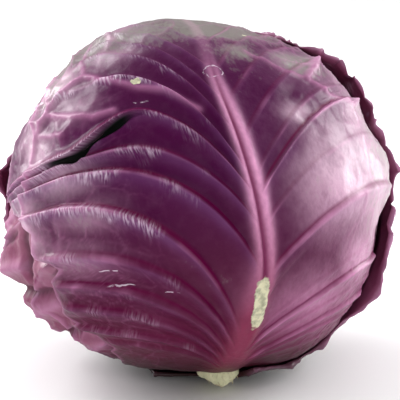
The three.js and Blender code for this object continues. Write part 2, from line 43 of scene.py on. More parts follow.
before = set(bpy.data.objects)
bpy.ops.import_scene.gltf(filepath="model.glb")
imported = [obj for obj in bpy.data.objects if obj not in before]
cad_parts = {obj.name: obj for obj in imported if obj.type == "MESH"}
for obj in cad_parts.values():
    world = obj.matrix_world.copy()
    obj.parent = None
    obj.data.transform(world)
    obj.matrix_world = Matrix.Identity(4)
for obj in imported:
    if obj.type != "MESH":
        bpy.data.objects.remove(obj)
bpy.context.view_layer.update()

MM = 0.001
DEG = math.pi / 180

# Lobes of the smooth head round its front-to-back axis: how many, size in mm
# and where the first peak is
LUMPS = [(1, 2.7, -85), (2, 0.9, -29), (3, 1.4, -21), (4, 1.2, 36), (5, 0.5, 33)]

# Local swells: degrees from the stem and around it, width, and height in mm
SWELLS = [
    (126, -74, 15, -1.5), (162, -59, 10, -2), (92, -87, 9, -1.7), (101, 82, 10, -1.2),
    (70, 88, 9, -2.2), (72, -84, 13, 1.4), (24, 113, 14, 2.8),
]

# Flat spot: softness of its edge, and the heights over which ribs fade in
SPOT_SOFTNESS = 0.5
SPOT_RIBLESS = 0.3
SPOT_RIBBED = 6

# Leaf sheet, in degrees: its middle from the stem, how soon its rows arch to
# the left and right, and how they droop further out
LEAF_MIDDLE = 88
LEFT_ARCH = 22
RIGHT_ARCH = 34
DROOP_AT = 60
DROOP = 5
LATE_DROOP = (26, 54)

# Depth of each leaf in the wrap, in mm
LEVELS = {"right": 2, "front": 0, "back": -2, "left": -4.3, "heart": -7}

# Degrees over which a leaf frees itself from under its neighbours: its ribs
# start, its margin and swells rise, and the whole blade lifts
RIBS_FREE = (1.5, 5)
SWELLS_FREE = (1, 7)
LIFT_FREE = (2, 14)

# Share of the way to the margin over which flares and ruffles rise, share of a
# pleat over which it drops behind its vein, and how far relief may sink (mm)
MARGIN_ZONE = (0.84, 1)
PLEAT_DROP = 0.14
LEAST_RELIEF = -0.4

# Midrib: place along the leaf, half width, height, depth of its groove, and
# how far the front leaf's midrib swings to the right
MIDRIB = np.array([
    (-81, 8.5, 2.2, 0.1, -1),
    (-66, 5.6, 3.2, 0.2, -1.3),
    (-52, 4.2, 3.4, 0.5, 0.2),
    (-36, 3.4, 3.0, 1.1, 2.4),
    (-16, 3.2, 2.6, 1.3, 0.7),
    (4, 2.8, 2.2, 1.0, -2.3),
    (24, 2.2, 1.2, 0.4, -4.7),
    (50, 2.0, 0.5, 0, -3),
    (96, 1.6, 0, 0, 0),
])

# Front leaf's side veins from the stem up: start on the midrib, rise left and
# right, reach left and right, strength left and right, late droop on the left
FRONT_VEINS = np.array([
    (-80.6, -6, -6, 44, 40, 0, 0, 0),
    (-79.8, 14, 14, 48, 52, 0, 0, 0),
    (-78.8, 26, 26, 54, 62, 0.3, 0.2, 0),
    (-77.6, 32, 34, 66, 66, 0.8, 0.3, 0),
    (-75, 40, 38, 69, 72, 0.9, 0.7, 0),
    (-70, 45, 40, 68, 76, 1, 0.2, 0),
    (-64, 50, 42, 72, 78, 1, 0.9, 0),
    (-59, 62, 43, 79, 80, 1.1, 0.2, 0),
    (-34.5, 46, 38, 89, 82, 1.1, 1, 0),
    (-20, 38, 42, 91, 84, 0.8, 0.3, 2.5),
    (-11.6, 44, 49, 88, 84, 0.8, 1, 14),
    (-7, 55, 51, 86, 84, 0.9, 0.3, 5),
    (4, 57, 51, 86, 80, 0.5, 0.5, 0),
    (16, 53, 50, 84, 74, 0.5, 0.4, 0),
    (29, 46, 48, 72, 66, 0.5, 0.4, 0),
    (43, 38, 42, 60, 56, 0.4, 0.4, 0),
    (57, 28, 30, 50, 48, 0.3, 0.3, 0),
    (70, 17, 18, 41, 41, 0.2, 0.2, 0),
    (82, 4, 5, 30, 31, 0.1, 0.1, 0),
    (92, -6, -6, 17, 18, 0, 0, 0),
])

# Outline shared by the other leaves: how far up, rise, reach, strength
PLAIN_VEINS = [
    (0, -7, 0.44, 0), (0.03, 18, 0.6, 0.2), (0.08, 34, 0.78, 0.8), (0.16, 42, 0.9, 1),
    (0.26, 45, 0.97, 1), (0.37, 45, 1, 0.9), (0.48, 43, 0.98, 0.8), (0.59, 39, 0.92, 0.7),
    (0.7, 32, 0.8, 0.5), (0.8, 22, 0.66, 0.4), (0.9, 9, 0.48, 0.2), (1, -6, 0.24, 0),
]
LEAF_FOOT = -80.6

# Margins by row: how far notches cut in (degrees), how high ruffles stand (mm)
RIGHT_RUFFLE = [
    (0, 0), (1, 0.4), (1.6, 1.4), (2, 4.8), (2.6, 3.6), (3, 4.4), (3.6, 3.8), (4, 6.6), (4.6, 3.8),
    (5, 2.2), (5.6, 5.2), (6, 5.2), (6.6, 6.4), (7, 3.8), (7.6, 2.4), (8, 1.2), (9, 1.4), (11, 0),
]
RIGHT_TRIM = [
    (0, 15), (0.5, 18), (1, 22), (1.5, 17), (2, 10), (3, 5), (4, 9), (4.5, 12), (5, 12),
    (5.5, 9), (6, 5), (8, 4), (11, 0),
]
FRONT_NOTCHES = [
    (0, 0), (1.2, 0), (1.6, 6), (2, 1), (2.8, 1), (3.18, 7), (3.6, 1), (5, 0), (5.6, 9), (6, 0),
    (6.18, 0), (6.6, 6), (7, 0), (19, 0),
]
FRONT_RUFFLE = [
    (0, 0), (1.6, 0.8), (2, -1), (3.18, 0.8), (4, -1.2), (5, -1.2), (5.6, 1), (6, -0.8),
    (6.6, 0.8), (7, -0.6), (8, 0.3), (9, 1), (10, 1.6), (12, 1), (19, 0),
]
BACK_TRIM = [(0, 12), (1, 16), (2, 18), (3, 14), (4, 8), (5, 0), (11, 0)]
BACK_TIP = [(0, 0), (4, 0.6), (4.6, 2), (5, 6), (5.6, 2.4), (6, 0.6), (11, 0)]

# Swells of a blade: place across and along, spread across and along, height
FRONT_BUMPS = [
    (-56, 27, 20, 12, 2.2), (-12, -8, 7, 24, -1.6), (-38, -8, 24, 22, 0.8),
    (32, -6, 20, 22, 0.8), (40, 36, 8, 10, 1.4), (66, 0, 14, 16, 3.4),
]
LEFT_BUMPS = [(27, -11.5, 10, 8, 3.7), (24, -27, 10, 5, 2), (16, -47, 10, 8, 1.2)]

# Fold of the front leaf: its row, where it starts and ends left of the midrib,
# how high its lip rolls and how deep the slit under it is
FRONT_FOLD = {"row": 10, "from": -25, "to": -69, "high": 4.2, "deep": 1.3}

# Veins of the front leaf that leave the even rows: courses in degrees across
# and along the leaf, with the height and half width of the ridge in mm
STRAY_VEINS = [
    ([(-75, -6), (-72, 6), (-69, 17), (-66, 23), (-67, 34), (-66, 46)], 1.3, 1.2),
    ([(-66, 23), (-59, 28), (-54, 35), (-45, 40)], 1.2, 1.1),
    ([(-66, 23), (-60, 20), (-53, 17.5)], 0.8, 1.0),
    ([(-59, 28), (-50, 23), (-42, 20), (-36, 21)], 1.1, 1.0),
    ([(-45, 40), (-37, 33), (-28, 27), (-20, 24), (-12, 17)], 0.9, 1.1),
    ([(-59, 28), (-62, 40), (-60, 55)], 0.9, 1.0),
    ([(-45, 40), (-46, 50), (-42, 62)], 0.7, 1.0),
    ([(29, 28), (38, 37), (50, 45)], 1.6, 1.3),
    ([(29, 28), (36, 22), (48, 20), (60, 26)], 0.9, 1.2),
    ([(29, 28), (20, 31), (10, 40)], 0.7, 1.0),
    ([(5.5, -40), (10, -34), (16, -28)], -0.9, 1.4),
]

# Creases and rolls of the folded leaf on the left, in its own degrees
LEFT_FOLDS = [
    ([(52, -6), (47, -12), (44, -18), (40, -21)], -2.6, 2.2),
    ([(12, -18), (25, -20.5), (33, -24), (42, -29), (48, -36)], -2.8, 1.7),
    ([(24, -13), (33, -15), (40, -17)], 2.2, 2.2),
    ([(20, -5), (30, -2), (42, 0)], 1.8, 1.8),
    ([(20, -9), (32, -8), (44, -7)], -1.6, 1.3),
    ([(16, -28), (30, -31), (40, -34)], 2.0, 2.2),
    ([(8, -37), (20, -39), (34, -44), (44, -46)], -2.2, 1.5),
    ([(10, -46), (22, -49), (32, -54)], 1.6, 2.0),
    ([(28, 6), (26, -2), (27, -10)], 1.4, 1.1),
    ([(33, 10), (36, 2), (38, -6)], 1.3, 1.2),
    ([(34, -30), (30, -40), (24, -50)], 1.2, 1.0),
    ([(22, -22), (20, -30), (16, -38)], 1.0, 1.1),
]

# Paler patches of the front leaf: place, spread across and along, how pale
# and how much of the grey waxy film they carry
# The palest patches, on the upper left and on the right, are partly painted highlights where the lamps
# reflect
FRONT_PATCHES = [
    (-62, 44, 14, 17, 1.0, 0.6), (-68, 16, 9, 14, 0.8, 0.2), (-52, 25, 9, 5, 0.5, 0.2),
    (-57, 3, 11, 6, 0.75, 0.1), (-48, -10, 11, 5, 0.45, 0.35), (-55, -24, 12, 7, 0.35, 0.25),
    (-36, 60, 22, 12, 0.5, 0.9), (-34, 46, 8, 5, 0.5, 0.6), (-74, -8, 8, 20, 0.7, 0.3),
    (31, -5, 18, 17, 1.0, 0.3), (18.5, 14, 6, 4, 0.8, 0.3), (50, 2, 16, 34, 1.0, 0.4),
    (26, -46, 24, 14, 0.55, 0), (32, 36, 14, 8, 0.6, 0.9), (8, 56, 30, 11, 0.3, 1),
    (44, -32, 14, 12, 0.7, 0.1), (6, 40, 10, 6, 0.2, 0.7), (-20, 52, 12, 6, 0.2, 0.6),
    (19, 22, 9, 4, -0.9, -0.9), (-12, 22, 20, 16, -0.6, -0.8), (12, 30, 10, 5, -0.7, -0.6),
    (6, -2, 6, 22, -0.5, 0), (14, 4, 6, 5, -0.6, 0), (-24, -4, 16, 16, -0.7, -0.8),
]

# Where the front leaf is crumpled: place, spread across and along, how much
FRONT_CRUMPLE = [
    (-60, 38, 16, 24, 1), (-42, 60, 26, 12, 0.9), (-74, 4, 10, 34, 0.8), (18, 54, 40, 12, 0.7),
    (38, 34, 14, 14, 0.9), (-64, -16, 12, 20, 0.5), (60, 6, 12, 26, 0.4), (24, 16, 12, 10, 0.4),
]
PLAIN_CRUMPLE = 0.6

# The slit under the fold: its first dark part and their spacing in degrees,
# its widths and soft edge in mm, and how far the lip slides over it in degrees
SLIT_FIRST = -52
SLIT_SPACING = 15.5
SLIT_NARROW = 1.2
SLIT_WIDER = 2.2
SLIT_SOFTNESS = 1.6
FOLD_SLIDE = 1.4

# Stalk, top first: distance from the head's middle, and radius
STALK = np.array([
    (28, 0), (31, 3), (40, 5.4), (54, 7), (66, 7.6), (72, 8.4), (75.5, 8.9), (78.5, 8.3), (81, 7.5),
])
STALK_SIDES = 120
STALK_RINGS = 80

# The cut: it slants to the front and is broken away to both sides of its peak,
# by some mm and more or less sharply. Its innermost ring and rim come last.
CUT_SLANT = 0.3
CUT_PEAK = 1.5
CUT_LEFT_LOSS = 5
CUT_RIGHT_LOSS = 2.4
LEFT_BREAK = 1.2
RIGHT_BREAK = 1.5
CUT_RINGS = 22
CUT_MIDDLE = 0.04
RIM_DROP = 0.4

# Reach in mm at which the stub's purple skin starts, and how slowly
SKIN_BELOW = 77
SKIN_FADE = 6

# Strands on the cut and torn fibres round it: how many, and sizes in mm
GROWTH_SEED = 7
STRANDS = 24
STRAND_RING = 4.7
STRAND_RADIUS = 0.55
FIBRES = 46
FIBRE_RING = 7.1
FIBRE_LENGTH = 2.4
FIBRE_RADIUS = 0.32
FIBRE_TIP = 0.04

# Heart: its well for the stalk, its spiral folds and where it closes behind
WELL_EDGE = 7.5
WELL_GAP = 0.5
WELL_WIDER = 1.04
WELL_RINGS = 30
HEART_FOLDS = 5
FOLD_HEIGHT = 0.8
HEART_END = 176
HEART_SIDES = 160
HEART_RINGS = 140

# Dry scars and flakes on the front leaf, in degrees: place, half sizes and
# whether only the rim is dry. One degree runs over this many millimetres.
DEGREE_RUN = 80 * DEG
SCARS = [
    (1.9, -42.5, 2.3, 8.8, False),
    (-28.5, 29.4, 1.7, 1.3, False),
    (16.7, 53, 1.1, 0.9, False),
]
FLAKES = [
    (-4.8, 30, 2.9, 2.5, True),
    (-40.5, -33.4, 4.6, 0.25, False),
    (-25, -36.4, 2.6, 0.2, False),
    (-28, 22.5, 2.2, 0.3, False),
    (-44, -28, 3.5, 0.2, False),
]

# Ramps from the distance to a scar's middle to its mask
RIM_STOPS = [(0.42, 0), (0.46, 1), (0.5, 1), (0.54, 0)]
FILLED_STOPS = [(0.42, 1), (0.5, 0)]

# Floor and lights: place, aim (none for the head's middle), size, watts
FLOOR_HALF = 6.0
FLOOR_BELOW = 0.0002
LIGHTS = {
    "high_panel": ((0, 0.3, 3.2), (0, 0.3, 0), (7, 7), 88),
    "left_strip": ((-0.75, 0.45, 0.55), None, (0.35, 0.9), 12),
    "right_strip": ((0.8, 0.35, 0.35), None, (0.35, 0.9), 8.5),
    "front_fill": ((0.3, -1.2, 0.45), None, (0.7, 0.7), 2.0),
}


def plain_veins(tip, left, right):
    """Vein table of a plain leaf that reaches so far up, left and right."""
    rows = []
    for part, rise, reach, rib in PLAIN_VEINS:
        start = LEAF_FOOT + (tip - LEAF_FOOT) * part
        rows.append((start, rise, rise, left * reach, right * reach, rib, rib, 0))
    return np.array(rows)


def ease(start, end, value):
    """Smooth step from 0 at the start to 1 at the end."""
    t = np.clip((value - start) / (end - start), 0, 1)
    return t * t * (3 - 2 * t)


def smooth_between(table, key, column, place):
    """Value of a column at a place, on a curve through the table's entries."""
    xs, ys = table[:, key], table[:, column]
    slopes = np.gradient(ys, xs)
    place = np.clip(place, xs[0], xs[-1])
    k = np.clip(np.searchsorted(xs, place) - 1, 0, len(xs) - 2)
    span = xs[k + 1] - xs[k]
    t = (place - xs[k]) / span
    bent = (2 * t**3 - 3 * t**2 + 1) * ys[k] + (t**3 - 2 * t**2 + t) * span * slopes[k]
    return bent + (3 * t**2 - 2 * t**3) * ys[k + 1] + (t**3 - t**2) * span * slopes[k + 1]


def soft_spot(across, along, x, y, wide, tall):
    """Share from 0 to 1 that fades out from a place on a leaf's sheet."""
    return np.exp(-(((across - x) / wide) ** 2) - ((along - y) / tall) ** 2)


def unit(v):
    v = np.asarray(v, float)
    return v / np.linalg.norm(v)


def value_noise(points, cell, seed):
    """Smooth noise from 0 to 1 at points, on a grid of random values."""
    grid = np.asarray(points) / cell
    base = np.floor(grid).astype(np.int64)
    t = grid - base
    t = t * t * (3 - 2 * t)
    total = np.zeros(len(grid))
    for corner in range(8):
        step = np.array([corner & 1, corner >> 1 & 1, corner >> 2 & 1])
        at = base + step
        key = at[:, 0] * 73856093 ^ at[:, 1] * 19349663 ^ at[:, 2] * 83492791 ^ seed * 2654435761
        key = (key ^ (key >> 13)) * 1274126177 & 0x7FFFFFFF
        value = (key ^ (key >> 16)) % 65536 / 65535
        weight = np.prod(np.where(step == 1, t, 1 - t), axis=1)
        total += value * weight
    return total


def creased(points, cell, seed):
    """Sharp ridges from 0 to 1 that wander through space."""
    return 1 - np.abs(2 * value_noise(points, cell, seed) - 1)


def cell_edges(u, v, seed):
    """Distance to the nearest wall of a net of irregular cells one unit wide."""
    first = np.full(len(u), 9.0)
    second = np.full(len(u), 9.0)
    cu = np.floor(u).astype(np.int64)
    cv = np.floor(v).astype(np.int64)
    for du in (-1, 0, 1):
        for dv in (-1, 0, 1):
            a, b = cu + du, cv + dv
            key = (a * 374761393 + b * 668265263 + seed * 144665) & 0x7FFFFFFF
            key = (key ^ (key >> 13)) * 1274126177 & 0x7FFFFFFF
            x = a + 0.15 + 0.7 * (key % 1024) / 1023
            y = b + 0.15 + 0.7 * (key // 1024 % 1024) / 1023
            d = np.hypot(u - x, v - y)
            nearer = d < first
            second = np.where(nearer, first, np.minimum(second, d))
            first = np.where(nearer, d, first)
    return second - first


def near_courses(across, along, courses):
    """Ridges along given courses: summed height and a mask of the lines."""
    height = np.zeros(len(across))
    mask = np.zeros(len(across))
    for course, high, half in courses:
        least = np.full(len(across), 99.0)
        for (x0, y0), (x1, y1) in zip(course[:-1], course[1:]):
            dx, dy = x1 - x0, y1 - y0
            t = np.clip(((across - x0) * dx + (along - y0) * dy) / (dx**2 + dy**2), 0, 1)
            least = np.minimum(least, np.hypot(across - x0 - t * dx, along - y0 - t * dy))
        line = np.exp(-((least / half) ** 2))
        height = np.where(np.abs(high * line) > np.abs(height), high * line, height)
        mask = np.maximum(mask, line * np.sign(high) * min(1, abs(high)))
    return height, np.maximum(mask, 0)


class Head:
    """The smooth ball that the leaves wrap, in millimetres."""

    def __init__(self, sizes):
        self.radius = sizes.head_radius / MM
        self.half = sizes.half_length / MM
        self.height = sizes.middle_height / MM
        tilt, lean = sizes.stem_tilt, sizes.stem_lean
        self.middle = np.array([0, 0, self.height])
        self.stem = np.array([
            math.sin(lean),
            -math.sin(tilt) * math.cos(lean),
            -math.cos(tilt) * math.cos(lean),
        ])
        front = np.array([0, -1.0, 0])
        self.front = unit(front - front.dot(self.stem) * self.stem)
        self.right = unit(np.cross(self.front, self.stem))
        self.floor = self.height / (1 + LEVELS["right"] / self.radius)

    def polar(self, from_stem, around):
        """Directions by angle from the stem and turn about it."""
        a, b = np.asarray(from_stem) * DEG, np.asarray(around) * DEG
        a, b = np.broadcast_arrays(a, b)
        out = np.sin(a)[..., None]
        return (
            np.cos(a)[..., None] * self.stem
            + out * np.cos(b)[..., None] * self.front
            + out * np.sin(b)[..., None] * self.right
        )

    def reach(self, way):
        """Smooth distance from the middle to the skin, flat where it rests."""
        along = way @ self.stem
        out = 1 - along**2
        ball = 1 / np.sqrt(out / self.radius**2 + along**2 / self.half**2)
        turn = np.arctan2(way[:, 2], way[:, 0])
        side = np.hypot(way[:, 0], way[:, 2])
        lumps = np.zeros(len(way))
        for lobes, size, peak in LUMPS:
            lumps += size * side**lobes * np.cos(lobes * (turn - peak * DEG))
        for from_stem, around, wide, high in SWELLS:
            near = np.clip(way @ self.polar(from_stem, around), -1, 1)
            lumps += high * np.exp(-((np.arccos(near) / DEG / wide) ** 2))
        radius = ball * (1 + lumps / self.radius)
        flat = self.floor / np.maximum(-way[:, 2], 0.1)
        near = np.maximum(SPOT_SOFTNESS - np.abs(radius - flat), 0) / SPOT_SOFTNESS
        return np.minimum(radius, flat) - near**2 * SPOT_SOFTNESS / 4

    def place(self, way, height):
        """Points a height above the skin in each direction."""
        reach = self.reach(way) * (1 + height / self.radius)
        return self.middle + way * reach[:, None]

    def spot_fade(self, way):
        """Fades ribs out on the flat spot."""
        return ease(SPOT_RIBLESS, SPOT_RIBBED, self.floor + self.reach(way) * way[:, 2])


class Leaf:
    """One leaf: a sheet of angles laid over the head, with veins as its rows."""

    def __init__(self, head, name, around, level, veins, **more):
        self.head, self.name = head, name
        self.around, self.level, self.veins = around, level, veins
        self.last = len(veins) - 1
        self.lift = self.bend = 0
        self.flare = self.frill = (0, 0)
        self.frill_count = 1
        self.bumps = []
        self.fold = None
        self.margins = {}
        self.sway = 0
        self.patches = []
        self.courses = []
        self.crumple = []
        self.rib_height = 1.5
        self.__dict__.update(more)
        self.middle = head.polar(LEAF_MIDDLE, around)
        self.tipward = head.polar(LEAF_MIDDLE + 90, around)
        self.rightward = head.polar(90, around + 90)

    def column(self, row, k):
        """Value of a column of the vein table between its rows."""
        return np.interp(row, np.arange(self.last + 1), self.veins[:, k])

    def sided(self, row, off, k):
        """Value of a column for the left side, or of the next for the right."""
        return np.where(off < 0, self.column(row, k), self.column(row, k + 1))

    def midrib_bend(self, along):
        return self.bend * smooth_between(MIDRIB, 0, 4, along)

    def on_margin(self, row, off, name):
        """Value of a margin table at a row, from the left or right one."""
        value = np.zeros(np.shape(row))
        for side, sign in (("L", -1), ("R", 1)):
            table = self.margins.get(name + side)
            if table:
                rows, sizes = np.array(table).T
                value = np.where(np.sign(off) == sign, np.interp(row, rows, sizes), value)
        return value

    def sheet(self, row, off):
        """Places across and along the leaf, on rows that arch to the margin."""
        start = self.column(row, 0)
        far = np.abs(off)
        late = np.where(off < 0, self.column(row, 7), 0)
        arch = 1 - np.exp(-far / np.where(off < 0, LEFT_ARCH, RIGHT_ARCH))
        along = start + self.sided(row, off, 1) * arch - DROOP * (far / DROOP_AT) ** 2
        along = along - late * ease(*LATE_DROOP, far)
        return off + self.midrib_bend(start), along

    def reach(self, row, off):
        """How far each row runs from the midrib to the margin."""
        wave = np.sin(row * 4.1 + self.around) + 0.6 * np.sin(row * 7.7)
        return self.sided(row, off, 3) * (1 + 0.012 * wave) - self.on_margin(row, off, "trim")

    def way(self, across, along):
        """Directions from the head's middle for places on the sheet."""
        away = np.hypot(across, along) * DEG
        bearing = np.arctan2(across, along)
        return (
            np.cos(away)[:, None] * self.middle
            + (np.sin(away) * np.cos(bearing))[:, None] * self.tipward
            + (np.sin(away) * np.sin(bearing))[:, None] * self.rightward
        )

    def paleness(self, across, along, share):
        """How pale each place is, and how much grey waxy film it carries."""
        if not self.patches:
            pale = 0.1 + 0.55 * ease(0.35, 1, share) + 0.2 * ease(30, 80, along)
            return pale, 0.2 + 0.5 * ease(20, 70, along)
        pale = np.zeros(len(across))
        film = 0.75 * ease(34, 60, along)
        for x, y, wide, tall, light, grey in self.patches:
            near = soft_spot(across, along, x, y, wide, tall)
            if light < 0:
                pale, film = pale * (1 + light * near), film * (1 + grey * near)
            else:
                pale, film = np.maximum(pale, light * near), np.maximum(film, grey * near)
        return pale, film

    def crumpled(self, across, along):
        """How crumpled the blade is at each place."""
        if not self.crumple:
            return np.full(len(across), PLAIN_CRUMPLE)
        much = np.zeros(len(across))
        for x, y, wide, tall, share in self.crumple:
            much = np.maximum(much, share * soft_spot(across, along, x, y, wide, tall))
        return much

    def depth_inside(self, way):
        """Degrees from each place to the leaf's outline, below zero outside."""
        away = np.arccos(np.clip(way @ self.middle, -1, 1)) / DEG
        bearing = np.arctan2(way @ self.rightward, way @ self.tipward)
        across, along = away * np.sin(bearing), away * np.cos(bearing)
        low = np.zeros(len(way))
        high = np.full(len(way), float(self.last))
        for _ in range(20):
            row = (low + high) / 2
            off = across - self.midrib_bend(self.column(row, 0))
            below = self.sheet(row, off)[1] < along
            low = np.where(below, row, low)
            high = np.where(below, high, row)
        off = across - self.midrib_bend(self.column(low, 0))
        foot = along - self.sheet(np.zeros(len(way)), off)[1]
        tip = self.sheet(np.full(len(way), float(self.last)), off)[1] - along
        return np.minimum(np.minimum(self.reach(low, off) - np.abs(off), foot), tip)


def clearance(leaf, leaves, way):
    """Degrees by which each place clears every leaf that lies over this one."""
    least = np.full(len(way), 90.0)
    for other in leaves:
        if other is leaf:
            break
        least = np.minimum(least, -other.depth_inside(way))
    return least


class Sheet:
    """The places of one leaf, and what its relief and colour are drawn from.

    Lengths named here are millimetres, but "off", "across" and "along" are
    degrees on the leaf and "row" counts side veins from the stem up.
    """

    def __init__(self, leaf, leaves, row, off):
        self.leaf, self.row, self.off = leaf, row, off
        self.left = off < 0
        self.scale = leaf.head.radius * DEG
        self.run = np.abs(off) * self.scale
        self.start = leaf.column(row, 0)
        self.across, self.along = leaf.sheet(row, off)
        self.way = leaf.way(self.across, self.along)
        self.spot = self.way * leaf.head.radius
        self.share = np.abs(off) / leaf.reach(row, off)
        self.free = clearance(leaf, leaves, self.way)
        self.bare = ease(*SWELLS_FREE, self.free)
        self.measure_midrib()
        self.measure_veins()
        self.shape_blade()
        self.shape_ribs()
        self.shape_skin()
        self.shape_creases()
        self.shape_margin()

    def noise(self, cell, seed):
        return value_noise(self.spot, cell, seed)

    def measure_midrib(self):
        """Height of the midrib, its crest and where the side veins leave it."""
        half, high, groove = (np.interp(self.start, MIDRIB[:, 0], MIDRIB[:, k]) for k in (1, 2, 3))
        self.far = np.abs(self.off) / half
        self.crest = np.exp(-(self.far**3) * 0.9)
        self.midrib = high * self.crest - groove * np.exp(-((self.far / 0.3) ** 2))
        self.spread = ease(0.3, 1.4, self.far) * ease(1.02, 0.9, self.share)

    def measure_veins(self):
        """Strength of the side veins below and above, and the way to them."""
        leaf, off = self.leaf, self.off
        below = np.floor(self.row + 1e-6)
        above = np.minimum(below + 1, leaf.last)
        self.past = np.maximum(self.row - below, 0)
        self.rib_below = leaf.sided(below, off, 5)
        self.rib_above = leaf.sided(above, off, 5)
        self.down = np.maximum((self.along - leaf.sheet(below, off)[1]) * self.scale, 0)
        self.up = np.maximum((leaf.sheet(above, off)[1] - self.along) * self.scale, 0)

    def shape_blade(self):
        """Level of the blade with its swells and its lifted, frilled margin."""
        leaf, row = self.leaf, self.row
        height = leaf.level + leaf.lift * ease(*LIFT_FREE, self.free)
        for x, y, wide, tall, high in leaf.bumps:
            spot = soft_spot(self.across, self.along, x, y, wide, tall)
            height = height + high * self.bare * spot
        ends = ease(0.2, 2.5, row) * ease(0, 2, leaf.last - row)
        flare = np.where(self.left, leaf.flare[0], leaf.flare[1])
        frill = np.where(self.left, leaf.frill[0], leaf.frill[1])
        wave = np.sin(row * leaf.frill_count * 2 * math.pi + leaf.around)
        stand = flare + frill * wave + leaf.on_margin(row, self.off, "ruffle")
        self.blade = height + stand * ease(*MARGIN_ZONE, self.share) ** 2 * ends * self.bare

    def shape_ribs(self):
        """Pleats that climb to each vein and drop behind it, and the veins.

        On the right the blade is smoother and the veins are thin raised lines.
        """
        fall = self.rib_below * (1 - ease(0, PLEAT_DROP, self.past))
        climb = self.rib_above * ease(PLEAT_DROP, 1, self.past) ** np.where(self.left, 1.5, 2.2)
        line = self.rib_below * np.exp(-((self.down / 0.7) ** 2))
        self.line = line + self.rib_above * np.exp(-((self.up / 0.8) ** 2))
        past_fold = ease(10.3, 10.9, self.row) * ease(-32, -44, self.off)
        self.even = 1 - 0.8 * past_fold if self.leaf.fold else 1
        ribs = self.leaf.rib_height * (fall + climb) * np.where(self.left, 1.4, 0.7)
        ribs = ribs + np.where(self.left, 0.2, 0.4) * self.line
        self.ribs = ribs * self.spread * self.even

    def shape_skin(self):
        """Net of small veins in cells that follow the rows, swells, crumples."""
        wander = 2.2 * (self.noise(9, 4) - 0.5)
        seed = int(self.leaf.around) + 400
        coarse = cell_edges(self.run / 13 + wander * 0.3, self.row * 1.7 + wander * 0.2, seed)
        fine = cell_edges(self.run / 4.6 + wander * 0.3, self.row * 3.6 + wander * 0.3, seed + 500)
        outward = ease(0.2, 0.7, self.share) * np.where(self.left, 0.45, 1)
        net = np.exp(-((coarse / 0.08) ** 2)) * outward
        fine_net = np.exp(-((fine / 0.12) ** 2)) * outward
        self.net = net + 0.5 * fine_net
        swell, ripple, pucker = (self.noise(*kind) - 0.5 for kind in ((14, 7), (5, 9), (2.4, 11)))
        detail = 0.35 * net + 0.1 * fine_net + 1.1 * swell + 0.45 * ripple + 0.12 * pucker
        bent = self.spot + 5 * (self.noise(12, 51) - 0.5)[:, None]
        self.folded = creased(bent, 15, 41) ** 3
        self.crimped = creased(bent, 7, 43) ** 2.5
        self.crumple = self.leaf.crumpled(self.across, self.along) * (1 - self.crest)
        creases = 3.0 * self.folded + 1.2 * self.crimped - 1.2
        self.detail = detail * (1 - self.crest) + self.crumple * creases

    def shape_creases(self):
        """Stray veins and creases along listed courses, then the fold with its dark slit."""
        ridge, self.stray = near_courses(self.across, self.along, self.leaf.courses)
        self.dip = np.maximum(-ridge, 0) * self.bare
        # Crease dips are painted dark as shade
        self.hollow = 0.5 * ease(0.5, 2, self.dip)
        self.ribs = self.ribs + np.maximum(ridge, 0)
        self.slide = np.zeros(len(self.row))
        if self.leaf.fold:
            self.shape_fold(self.leaf.fold)

    def shape_fold(self, fold):
        """Lip that slides over the vein it rolls along, and the slit under it."""
        mid = (fold["from"] + fold["to"]) / 2
        lens = ease(fold["from"], mid, self.off) * ease(fold["to"], mid, self.off)
        lens = np.where(self.left, lens, 0)
        over = self.row >= fold["row"]
        past = self.row - fold["row"]
        ribs = self.ribs + np.where(over, fold["high"] * lens * (1 - ease(0, 0.9, past)), 0)
        edge = self.leaf.sheet(np.full(len(self.row), float(fold["row"])), self.off)[1]
        widest = 0.5 + 0.5 * np.cos((self.off - SLIT_FIRST) / SLIT_SPACING * 2 * math.pi)
        slit = SLIT_NARROW + SLIT_WIDER * widest
        beyond = (edge - self.along) * self.scale - slit
        under = lens**0.6 * (1 - ease(0, SLIT_SOFTNESS, beyond)) * ~over
        self.ribs = ribs * (1 - under)
        self.dip = self.dip + fold["deep"] * under
        # The slit under the lip is painted near black as shade
        self.hollow = np.maximum(self.hollow, ease(0.25, 0.6, under))
        self.slide = lens * np.where(over, 1 - ease(0, 0.35, past), 0)

    def shape_margin(self):
        """Ruffles that roll to and fro as well as up, which folds them over."""
        leaf, row = self.leaf, self.row
        zone = ease(0.86, 1, self.share) * leaf.sway * self.bare
        stand = leaf.on_margin(row, self.off, "ruffle") if leaf.sway else 0
        roll = np.sin(row * 9.2 + leaf.around) + 0.7 * np.sin(row * 15.7 + 1)
        gathers = np.sin(row * 13.1 + leaf.around + 2 * np.sin(row * 3.7))
        folds = np.sin(ease(*MARGIN_ZONE, self.share) * 9.5 + row * 2.3)
        nicks = 0.3 * leaf.sway * np.sin(row * 23 + 3 * np.sin(row * 6))
        self.crinkle = (nicks + 0.2 * stand * (folds + gathers)) * zone
        self.aside = np.sign(self.off) * 0.2 * stand * roll * zone**2
        self.ahead = 0.3 * stand * np.sin(row * 11.3 + 2) * zone**2
        # Troughs of the ruffles' gathers, where the margin is painted darker as shade
        self.ruffle_shade = zone * (0.5 - 0.5 * gathers) * np.clip(stand, 0, 1)

    def points(self):
        """Outer and inner points of the blade."""
        leaf, head = self.leaf, self.leaf.head
        fade = ease(*RIBS_FREE, self.free) * head.spot_fade(self.way)
        relief = (self.midrib + np.maximum(self.ribs + self.detail, LEAST_RELIEF)) * fade
        across, along = self.across + self.aside, self.along + self.ahead
        base = self.blade - self.dip + self.crinkle
        outer = head.place(leaf.way(across, along - FOLD_SLIDE * self.slide), base + relief)
        return outer, head.place(leaf.way(across, along), base - leaf.blade)

